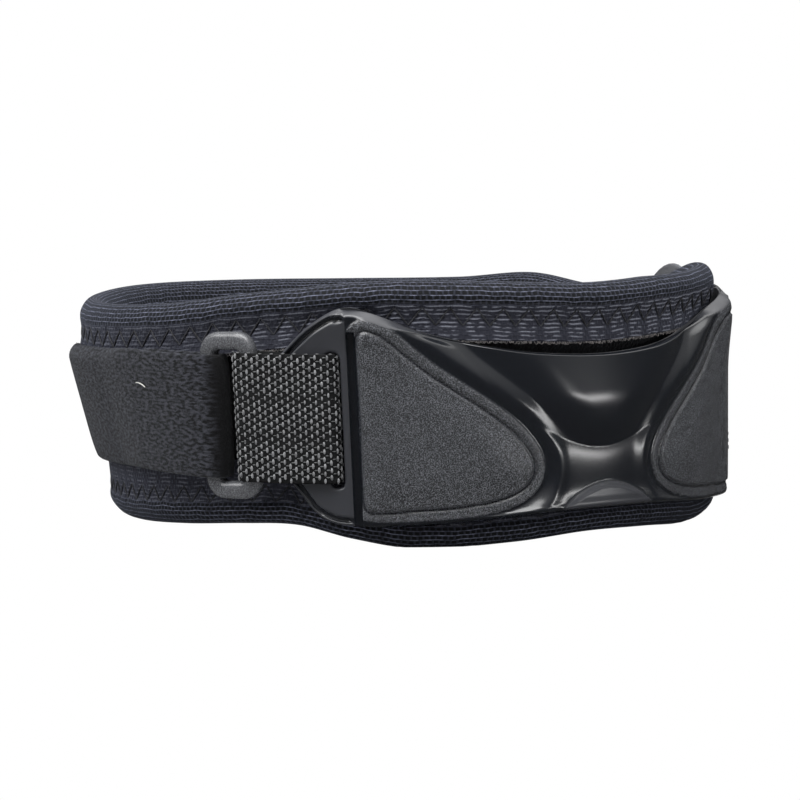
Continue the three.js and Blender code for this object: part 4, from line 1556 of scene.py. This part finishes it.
@dataclass
class Band:
    """A flat band that follows a route of rounded corners along the wall.

    A corner has the distance along the wall from the plate's middle, the distance out from the pad, the
    change of the band's level, its lean beyond the wall's own, and its slide along for each millimetre up.
    """

    width: float
    thickness: float
    level: float
    corners: list[tuple[float, float, float, float, float]]
    closed: bool
    rounding: float
    step: float = 0.7
    end_corner: float = 0.0
    curl: float = 0.0
    curl_width: float = 2.6

    def __post_init__(self) -> None:
        """Rounds the corners and walks the route in even steps."""
        rough = np.array(self.corners, float)
        count = len(rough)
        share = np.linspace(0, 1, 12)[:, None]
        route = []
        for i, here in enumerate(rough):
            if not self.closed and i in (0, count - 1):
                route.append(here[None])
                continue
            before, after = rough[(i - 1) % count], rough[(i + 1) % count]
            start = here + (before - here) * min(self.rounding / np.linalg.norm(before - here), 0.5)
            end = here + (after - here) * min(self.rounding / np.linalg.norm(after - here), 0.5)
            route.append((1 - share) ** 2 * start + 2 * share * (1 - share) * here + share**2 * end)
        if self.closed:
            route.append(route[0][:1])
        line = np.concatenate(route)
        gaps = np.linalg.norm(np.diff(line[:, :3], axis=0), axis=1)
        line = line[np.concatenate([[True], gaps > 1e-6])]
        run = np.concatenate([[0], np.cumsum(np.linalg.norm(np.diff(line[:, :3], axis=0), axis=1))])
        self.length = run[-1]
        self.runs = np.linspace(0, self.length, int(self.length / self.step) + 1)
        self.line = np.stack([np.interp(self.runs, run, column) for column in line.T], -1)

    @property
    def outer(self) -> int:
        """The side of a closed route that looks outward: 1 for its left, -1 for its right."""
        line = self.line
        area = np.sum(line[:-1, 0] * line[1:, 1] - line[1:, 0] * line[:-1, 1])
        return -1 if area > 0 else 1

    def read(self, run: Array) -> Array:
        """The route's corner values at distances along it."""
        place = run % self.length if self.closed else run
        return np.stack([np.interp(place, self.runs, column) for column in self.line.T], -1)

    def point(self, run: Array, across: Array, off: Array) -> Array:
        """Points in or on the band.

        Args:
            run: distance along the route.
            across: distance up from the band's middle line.
            off: distance from its middle surface, + on its left as it runs.

        Returns:
            Points in millimetres.
        """
        run, across, off = np.broadcast_arrays(run, across, off)
        reach = 0.8
        ends = (run - reach, run + reach)
        if not self.closed:
            ends = (np.maximum(ends[0], 0), np.minimum(ends[1], self.length))
        here, ahead = self.read(run), self.read(ends[1]) - self.read(ends[0])
        flat = unit(ahead[..., :2])
        slant = np.arctan2(ahead[..., 2], np.maximum(np.abs(ahead[..., 0]), 1e-6))
        height = across * np.cos(slant)
        along = here[..., 0] - flat[..., 1] * off - across * np.sin(slant) * np.sign(flat[..., 0])
        along = along + here[..., 4] * height
        curled = np.clip((across - self.width / 2 + self.curl_width) / self.curl_width, 0, 1) ** 2
        out = here[..., 1] + flat[..., 0] * off + here[..., 3] * (height - 10 * self.curl * curled)
        return WALL.point(np.degrees(along / WALL.unroll), out, self.level + here[..., 2] + height)

    def skin(self, name: str, crown: float, marks: dict[str, Mark] | None = None) -> Piece:
        """Builds the band as a closed skin with rounded edges.

        Args:
            name: the piece's name.
            crown: how much thinner the band is at its edges.
            marks: attributes by name, each a function of the distance along the band.

        Returns:
            The object.
        """
        half, thick = self.width / 2, self.thickness / 2
        across = np.linspace(-1, 1, 41)
        edge = np.linspace(-np.pi / 2, np.pi / 2, 7)[1:-1]
        round_ = min(thick, 0.7)
        flat = across * (half - round_)
        thin = thick - crown * across**6
        rise = round_ * np.cos(edge)
        up = np.concatenate([flat, half - round_ + rise, flat[::-1], round_ - half - rise])
        ends = thin[-1] * np.sin(edge)
        off = np.concatenate([-thin, ends, thin[::-1], -ends])
        runs, corner = self.runs[:-1], self.end_corner
        if not self.closed:
            bend = self.length - corner * (1 - np.sin(np.linspace(0, np.pi / 2, 10)))
            runs = np.concatenate([self.runs[self.runs < self.length - corner - 0.1], bend])
        cut = corner - np.clip(self.length - runs, 0, corner)
        narrow = (half - corner + np.sqrt(np.maximum(corner**2 - cut**2, 0))) / half
        points = self.point(runs[:, None], up[None] * narrow[:, None], off[None])
        quads = grid_quads(len(runs), len(up), self.closed, True)
        places, levels = np.append(runs, self.length), np.append(up, up[0])
        uv = np.stack([places[quads[..., 1]], levels[quads[..., 2]]], -1)
        faces = quads[..., 0]
        if not self.closed:
            caps = self.caps(len(runs), len(flat), len(edge))
            faces = np.concatenate([faces, caps])
            uv = np.concatenate([uv, np.zeros((len(caps), 4, 2))])
        values = {key: np.repeat(mark(runs), len(up)) for key, mark in (marks or {}).items()}
        return make_mesh(name, points, faces, uv, values)

    @staticmethod
    def caps(columns: int, flat: int, edge: int) -> Array:
        """Quads that close a band's two ends, between its two faces and round its edges.

        Args:
            columns: number of sections along the band.
            flat: points across a face.
            edge: points round an edge.

        Returns:
            Quads of vertex numbers.
        """
        size = 2 * flat + 2 * edge
        near = np.arange(flat - 1)
        other = 2 * flat + edge - 1 - near
        middle = np.stack([near, near + 1, other - 1, other], -1)
        k = np.arange(edge // 2)
        high = np.stack([flat - 1 + k, flat + k, flat + edge - 1 - k, flat + edge - k], -1)
        start = 2 * flat + edge - 1 + k
        low = np.stack([start, start + 1, (size - 1 - k) % size, (size - k) % size], -1)
        first = np.concatenate([middle, high, low])
        return np.concatenate([first, first[:, ::-1] + (columns - 1) * size])

    def frames(self, run: Array, across: Array, off: float) -> tuple[Array, ...]:
        """Points on the band with the directions across it and out of it.

        Args:
            run: distances along the route.
            across: distances up from its middle line.
            off: distance from its middle surface.

        Returns:
            Points, unit vectors across the band, and unit vectors out of its face.
        """
        here, step = self.point(run, across, off), 0.2
        up = unit(self.point(run, across + step, off) - self.point(run, across - step, off))
        facing = unit(self.point(run, across, off + math.copysign(step, off)) - here)
        return here, up, facing


@dataclass(frozen=True)
class RingSize:
    """Sizes of a rectangular ring, shared with the bands that turn round it."""

    angle: float = 63.5
    width: float = 11.9
    height: float = 32.4
    thickness: float = 3.0
    corner: float = 4.0
    inner_corner: float = 0.9
    out: float = 3.9
    level: float = 25.3
    upright: float = 3.3
    end: float = 3.5
    bow: float = 0.2
    clearance: float = 0.3
    slide: float = 0.038

    @property
    def bar_offset(self) -> float:
        """Distance from the ring's middle to the middle of an upright bar."""
        return self.width / 2 - self.upright / 2

    def turn(self, thickness: float) -> tuple[float, float]:
        """How far out and how far past a bar's middle a band of that thickness turns."""
        room = self.clearance + thickness / 2
        return self.thickness / 2 + room, self.upright / 2 + room


RING = RingSize()


@dataclass
class WebbingLoop:
    """The woven loop that joins one end of the plate to its ring."""

    side: Side
    width: float = 24.8
    thickness: float = 1.6
    level: float = 25.3
    column: float = 1.03
    dash: float = 1.43
    snug: float = 0.7
    seed: int = 21
    crease: float = 3.9
    crease_width: float = 1.1
    crease_depth: float = 0.08
    crease_shrink: float = 0.16
    yarn_size: tuple[float, float, float] = (1.12, 0.52, 0.46)
    binder_size: tuple[float, float, float] = (0.2, 0.74, 0.34)

    def band(self) -> Band:
        """Lays the loop round the ring's bar and through the plate's slot.

        Returns:
            The closed band.
        """
        plate = FrontPlate()
        turn_out, turn_past = RING.turn(self.thickness)
        bar = WALL.along(RING.angle) - RING.bar_offset
        end = bar + turn_past - self.snug
        slot = WALL.along(plate.slot_from) + RING.clearance + self.thickness / 2
        over = plate.end_lift + plate.frame + RING.clearance + self.thickness / 2 - 0.15
        under = plate.end_lift - RING.clearance - self.thickness / 2
        corners = [(end, RING.out + turn_out), (bar - RING.upright, RING.out + turn_out), (slot, over)]
        corners += [(slot, under), (end, RING.out - turn_out)]
        sign = self.side.value
        route = [(sign * x, out, 0.0, 0.0, sign * RING.slide) for x, out in corners]
        if sign > 0:
            route.reverse()
        return Band(self.width, self.thickness - 0.5, self.level, route, True, 1.9, 0.6)

    def build(self, ground: Material, yarn: Material, cross: Material) -> None:
        """Builds the ground cloth and the yarns that float over it.

        Args:
            ground: finish of the cloth under the yarns.
            yarn: finish of the yarns that cross the band.
            cross: finish of the binder yarns between them.
        """
        name = f"webbing_{self.side.name.lower()}"
        band = self.band()
        cloth = settle(band.skin(name + "_ground", 0.1), Slot.WEBBING, ground)
        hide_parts(name)
        columns = 2 * round(band.length / self.column / 2)
        rows = int(self.width / self.dash)
        rng = np.random.default_rng(self.seed + self.side.value)
        i, k = (m.ravel() for m in np.meshgrid(np.arange(columns), np.arange(rows + 1), indexing="ij"))
        run = i * band.length / columns + rng.normal(0, 0.03, i.size)
        across = (k - rows / 2 + 0.25 * (2 * (i % 2) - 1)) * self.dash + rng.normal(0, 0.04, i.size)
        spots = np.stack([run, across], -1)[np.abs(across) < self.width / 2 - 0.45]
        yarns = self.float_yarns(name + "_yarns", band, spots, self.yarn_size, yarn, rng)
        spots = spots + (self.column / 2, self.dash / 2)
        binders = self.float_yarns(name + "_binders", band, spots, self.binder_size, cross, rng)
        LOG.info("%s: %.0f mm round", name, band.length)

    def float_yarns(
        self,
        name: str,
        band: Band,
        spots: Array,
        size: tuple[float, float, float],
        material: Material,
        rng: np.random.Generator,
    ) -> Piece:
        """Sets yarn floats on the band's outer side, sunk and shrunk a little along its two creases.

        Args:
            name: the piece's name.
            band: the band that carries them.
            spots: their places along the band and across it.
            size: length across the band, width and height.
            material: their finish.
            rng: the random draws that vary their size.

        Returns:
            The yarns.
        """
        run, across = spots.T
        here, up, facing = band.frames(run % band.length, across, band.outer * band.thickness / 2)
        sunk = bump(np.abs(across), self.crease, self.crease_width)
        here = here - self.crease_depth * sunk[:, None] * facing
        share = rng.uniform(0.9, 1.08, len(run)) - self.crease_shrink * sunk
        points = make_mesh(name + "_spots", here, attributes={"facing": facing, "run": up, "share": share})
        length, width, height = (x * MM for x in size)
        yarns = grow(points, bead_tree(), name, Length=length, Width=width, Height=height, Material=material)
        bpy.data.objects.remove(points)
        return settle(yarns, Slot.WEBBING)


@dataclass
class RectangularRing:
    """A moulded rectangular ring with rounded bars."""

    side: Side
    bend_points: int = 24
    side_points: int = 12
    profile: int = 20
    squareness: float = 0.62

    def outline(self, width: float, height: float, corner: float) -> Array:
        """A rounded rectangle with the same number of points on each side and corner.

        Args:
            width: its width.
            height: its height.
            corner: its corners' radius.

        Returns:
            Points of its outline, about its middle.
        """
        bend = np.linspace(0, np.pi / 2, self.bend_points)
        corners = []
        for turns, (sx, sy) in enumerate(((1, 1), (-1, 1), (-1, -1), (1, -1))):
            turned = bend + turns * np.pi / 2
            middle = np.array([sx * (width / 2 - corner), sy * (height / 2 - corner)])
            corners.append(middle + corner * np.stack([np.cos(turned), np.sin(turned)], -1))
        share = np.linspace(0, 1, self.side_points + 2)[1:-1, None]
        parts = []
        for here, after in zip(corners, corners[1:] + corners[:1]):
            parts += [here, here[-1] + (after[0] - here[-1]) * share]
        return np.concatenate(parts)

    def build(self, material: Material) -> None:
        """Builds the ring on the wall and dresses it.

        Args:
            material: its finish.
        """
        outer = self.outline(RING.width, RING.height, RING.corner)
        inner = self.outline(RING.width - 2 * RING.upright, RING.height - 2 * RING.end, RING.inner_corner)
        turn = np.linspace(0, math.tau, self.profile, endpoint=False)
        waves = (np.cos(turn), np.sin(turn))
        wide, thick = (np.sign(wave) * np.abs(wave) ** self.squareness for wave in waves)
        middle, half = (outer + inner) / 2, (outer - inner) / 2
        flat = middle[:, None] + half[:, None] * wide[None, :, None]
        deep = np.broadcast_to((thick * RING.thickness / 2)[None, :, None], flat.shape[:2] + (1,))
        angle, out, level = self.side.value * RING.angle, RING.out - RING.bow, RING.level
        across = unit(self.spot(angle + 2, out, level) - self.spot(angle - 2, out, level))
        rise = self.spot(angle, out, level + 2) - self.spot(angle, out, level - 2)
        up = unit(rise - across * (rise @ across))
        facing = np.cross(across, up)
        tilt = math.atan(RING.slide) * self.side.value
        sine, cosine = math.sin(tilt), math.cos(tilt)
        axes = np.stack([across * cosine - up * sine, up * cosine + across * sine, facing])
        points = self.spot(angle, out, level) + np.concatenate([flat, deep], -1) @ axes
        quads = grid_quads(len(outer), self.profile, True, True)
        name = f"ring_{self.side.name.lower()}"
        ring = settle(make_mesh(name + "_moulded", points, quads[..., 0]), Slot.RING, material)
        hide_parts(name)

    @staticmethod
    def spot(angle: float, out: float, height: float) -> Array:
        """One point on the wall."""
        return WALL.point(np.array(angle), np.array(out), np.array(height))


@dataclass
class FasteningStrap:
    """The hook-and-loop strap, with a brushed pile of fibres that are fewer and wider than real ones."""

    width: float = 23.8
    thickness: float = 1.8
    level: float = 25.15
    rest: float = 0.4
    drop: float = 1.9
    lean: float = 0.1
    tucked: float = 83.0
    free_angle: float = 85.6
    free_slant: float = 46.0
    free_corner: float = 10.0
    tip: float = 7.5
    fold: tuple[float, float] = (1.4, 4.4)
    rounding: float = 2.7
    curl: float = 1.8
    curl_width: float = 3.2
    fibres_per_mm2: float = 1.8
    fibre_length: float = 0.55
    fibre_width: float = 0.16
    fibre_seed: int = 5
    lint: tuple[float, float] = (-80.75, 29.55)
    lint_radius: float = 0.1

    def band(self) -> Band:
        """Lays the strap from its tucked end at the left ring round the back to its free end at the right.

        Returns:
            The open band.
        """
        turn_out, turn_past = RING.turn(self.thickness)
        base, top = RING.out - turn_out, RING.out + turn_out
        over = base + self.thickness + RING.clearance
        bar = WALL.along(RING.angle) + RING.bar_offset
        past = bar - turn_past
        back = WALL.along(360.0)
        loose = WALL.along(self.free_angle) - bar
        tangent = math.tan(math.radians(self.free_slant))
        tucked = WALL.along(self.tucked)
        slide = RING.slide
        corners = [
            (-tucked, base, 0.0, 0.0, -slide / 2),
            (-past, base, 0.0, 0.0, -slide),
            (-past, top, 0.0, 0.0, -slide),
            (-bar - 2, top, 0.0, 0.0, -slide),
            (-tucked - 2, over, 0.0, 0.0, -slide / 2),
            (-WALL.along(self.tucked + 12), self.rest, -self.drop / 2, self.lean, 0.0),
            (-WALL.along(self.tucked + 35), self.rest, -self.drop, self.lean, 0.0),
            (-WALL.along(self.tucked + 46), self.rest, -1.6 * self.drop, self.lean, 0.0),
            (-WALL.along(160.0), self.rest, -1.8 * self.drop, self.lean, 0.0),
            (WALL.along(120.0) - back, self.rest + 0.3, 0.0, self.lean / 2, 0.0),
            (WALL.along(self.free_angle + 16) - back, base, 0.0, 0.0, 0.0),
            (past - back, base, 0.0, 0.0, slide),
            (past - back, top, 0.0, 0.0, slide),
            (bar + 3 - back, top + 0.2, 0.0, 0.0, slide),
            (bar + 10 - back, top, 7 * tangent, 0.0, 0.0),
            (bar + loose - back, over + 1, (loose - 1.2) * tangent, 0.0, 0.0),
        ]
        ends = {"end_corner": self.free_corner, "curl": self.curl, "curl_width": self.curl_width}
        return Band(self.width, self.thickness, self.level, corners, False, self.rounding, **ends)

    def build(self) -> None:
        """Builds the strap and its pile, and dresses them."""
        band = self.band()
        folds = [band.runs[band.line[:, 0].argmax()], band.runs[band.line[:, 0].argmin()]]

        def crush_and_shade(run: Array) -> Array:
            """How far the pile is crushed in the folds round the rings, where it is also darkened with
            painted shade.
            """
            return 1 - smoothstep(np.minimum(*(np.abs(run - fold) for fold in folds)), *self.fold)

        def tip(run: Array) -> Array:
            """Where the free end is fused."""
            return smoothstep(run, band.length - self.tip, band.length - self.tip + 0.6)

        # The folds round the rings get painted shade and fewer fibres
        marks = {"crush_and_shade": crush_and_shade, "tip": tip, "pile": lambda run: (1 - crush_and_shade(run)) * (1 - tip(run))}
        strap = settle(band.skin("fastening_strap_band", 0.3, marks), Slot.STRAP, LoopPile().build())
        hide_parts("fastening_strap")
        fibre = Plush("pile_fibre", "2e2f33", "121315", clump=1.4, relief=0.05, sheen=0.15).build()
        inputs = {"Density": self.fibres_per_mm2 / MM**2, "Length": self.fibre_length * MM}
        inputs |= {"Width": self.fibre_width, "Seed": self.fibre_seed, "Material": fibre}
        pile = settle(grow(strap, pile_tree(), "strap_pile", **inputs), Slot.STRAP)
        lint = settle(self.lint_fibre(band, folds[0]), Slot.STRAP)
        LOG.info("strap length %.0f mm", band.length)

    def lint_fibre(self, band: Band, fold: float) -> Piece:
        """Leaves one pale curl of lint on the pile.

        Args:
            band: the strap's band.
            fold: where it turns round the left ring.

        Returns:
            The curl.
        """
        outer = band.runs > fold
        run = np.interp(WALL.along(-self.lint[0]), -band.line[outer, 0], band.runs[outer])
        share = np.linspace(0, 1, 9)
        across = self.lint[1] - self.level + self.drop / 2 + 0.45 * share - 1.1 * share**2
        outward = 1 if band.line[outer, 0][0] > 0 else -1
        off = outward * (self.thickness / 2 + 0.3) + 0 * share
        points = band.point(run + 1.5 - 3.0 * share, across, off)
        pale = Yarn("cotton_lint", "b4b4b0", "9a9a96", roughness=0.8).build()
        return sew("lint_fibre", points[None], self.lint_radius, pale)


# Studio


@dataclass
class Studio:
    """A pale floor, soft light and a camera at the photograph's angle."""

    target: tuple[float, float, float] = (1.72, 0.56, 22.4)
    distance: float = 700.0
    azimuth: float = -35.5
    elevation: float = 5.5
    focal_pixels: float = 3322.0
    image_pixels: float = 800.0
    sensor: float = 36.0
    floor_half: float = 3000.0
    # Name, degrees round from the camera, elevation, distance, width and height, and power
    lamps: tuple[tuple[str, float, float, float, tuple[float, float], float], ...] = (
        ("overhead_softbox", -10.0, 68.0, 700.0, (600.0, 450.0), 8.2),
        ("left_softbox", -55.0, 35.0, 800.0, (400.0, 500.0), 4.5),
        ("right_softbox", 120.0, 60.0, 800.0, (500.0, 500.0), 1.5),
        ("front_softbox", 61.5, 6.0, 700.0, (270.0, 43.0), 0.65),
    )

    @staticmethod
    def to_eye(tree: Tree, light: Node, eye: Node) -> Node:
        """Mixes what gives light to the brace with what the camera sees straight."""
        straight = add_node(tree, "ShaderNodeLightPath").outputs["Is Camera Ray"]
        return add_node(tree, "ShaderNodeMixShader", {0: straight, 1: light, 2: eye})

    def floor(self) -> None:
        """Lays a wide pale floor: white to the eye, and dim in the light that it gives back."""
        corners = np.array([(-1, -1, 0), (1, -1, 0), (1, 1, 0), (-1, 1, 0)]) * self.floor_half
        floor = make_mesh("studio_floor", corners, np.array([[0, 1, 2, 3]]))
        material, tree = start_material("pale_floor")
        links = {"Base Color": linear("c8c8c8"), "Roughness": 0.9, "Specular IOR Level": 0.0}
        dim = add_node(tree, "ShaderNodeBsdfPrincipled", links)
        white = add_node(tree, "ShaderNodeEmission", {"Color": linear("ffffff"), "Strength": 1.0})
        add_node(tree, "ShaderNodeOutputMaterial", {"Surface": self.to_eye(tree, dim, white)})
        floor.data.materials.append(material)
        floor.visible_glossy = False

    def world(self) -> None:
        """Surrounds the brace with soft light: white to the eye, dark in front, bright above and behind."""
        world = bpy.data.worlds.new("studio")
        bpy.context.scene.world = world
        world.use_nodes = True
        tree = world.node_tree
        tree.nodes.clear()
        way = add_node(tree, "ShaderNodeTexCoord").outputs["Generated"]
        rise = add_node(tree, "ShaderNodeSeparateXYZ", {0: way}).outputs["Z"]
        above = add_node(tree, MAP_RANGE, {0: rise, 1: 0.15, 2: 0.8, 3: 0.0, 4: 1.0})
        turned = math.radians(self.azimuth)
        links = {0: way, 1: (-math.sin(turned), math.cos(turned), 0.0)}
        behind = add_node(tree, VECTOR_MATH, links, operation="DOT_PRODUCT").outputs["Value"]
        rear = add_node(tree, MAP_RANGE, {0: behind, 1: 0.9, 2: 0.985, 3: 0.07, 4: 0.9})
        total = add_node(tree, MATH, {0: rear, 1: above}, operation="MAXIMUM")
        white = {"Color": linear("ffffff")}
        light = add_node(tree, "ShaderNodeBackground", white | {"Strength": total})
        eye = add_node(tree, "ShaderNodeBackground", white | {"Strength": 1.0})
        add_node(tree, "ShaderNodeOutputWorld", {0: self.to_eye(tree, light, eye)})

    def aim(self, obj: Piece, azimuth: float, elevation: float, far: float) -> None:
        """Sets a lamp or the camera round the brace, looking at it.

        Args:
            obj: what to set.
            azimuth: degrees round the brace from the plate's middle.
            elevation: degrees above the floor.
            far: distance in millimetres.
        """
        a, e = math.radians(azimuth), math.radians(elevation)
        back = Vector((math.sin(a) * math.cos(e), -math.cos(a) * math.cos(e), math.sin(e)))
        obj.location = Vector(self.target) * MM + back * far * MM
        obj.rotation_euler = (-back).to_track_quat("-Z", "Y").to_euler()

    def light(self) -> None:
        """Hangs the soft boxes."""
        for name, around, elevation, far, size, watts in self.lamps:
            light = bpy.data.lights.new(name, "AREA")
            light.shape = "RECTANGLE"
            light.size, light.size_y = size[0] * MM, size[1] * MM
            light.energy = watts
            self.aim(link_object(name, light), self.azimuth + around, elevation, far)

    def camera(self) -> None:
        """Sets the camera where the photograph was taken from."""
        data = bpy.data.cameras.new("photo_camera")
        data.sensor_width = self.sensor
        data.lens = self.focal_pixels / self.image_pixels * self.sensor
        data.clip_start, data.clip_end = 0.01, 20
        camera = link_object("photo_camera", data)
        self.aim(camera, self.azimuth, self.elevation, self.distance)
        bpy.context.scene.camera = camera

    def build(self) -> None:
        """Sets up the whole studio."""
        bpy.context.scene.view_settings.view_transform = "Standard"
        self.floor()
        self.world()
        self.light()
        self.camera()


def main() -> None:
    """Builds the brace's pieces in order, then the studio."""
    logging.basicConfig(level=logging.INFO, format="%(name)s %(message)s")
    PaddedRing().build()
    FrontPlate().build()
    ground = Plush("webbing_ground", "141516", "0a0a0b", clump=0.8, relief=0.1, sheen=0.0).build()
    yarn = Yarn("nylon_filament_yarn", "747577", "424345", roughness=0.42).build()
    binder = Yarn("nylon_binder_yarn", "5c5d5f", "2c2d2e", roughness=0.45).build()
    acetal = SatinPlastic().build()
    for side in Side:
        WebbingLoop(side).build(ground, yarn, binder)
        RectangularRing(side).build(acetal)
    FasteningStrap().build()
    Studio().build()


if __name__ == "__main__":
    main()
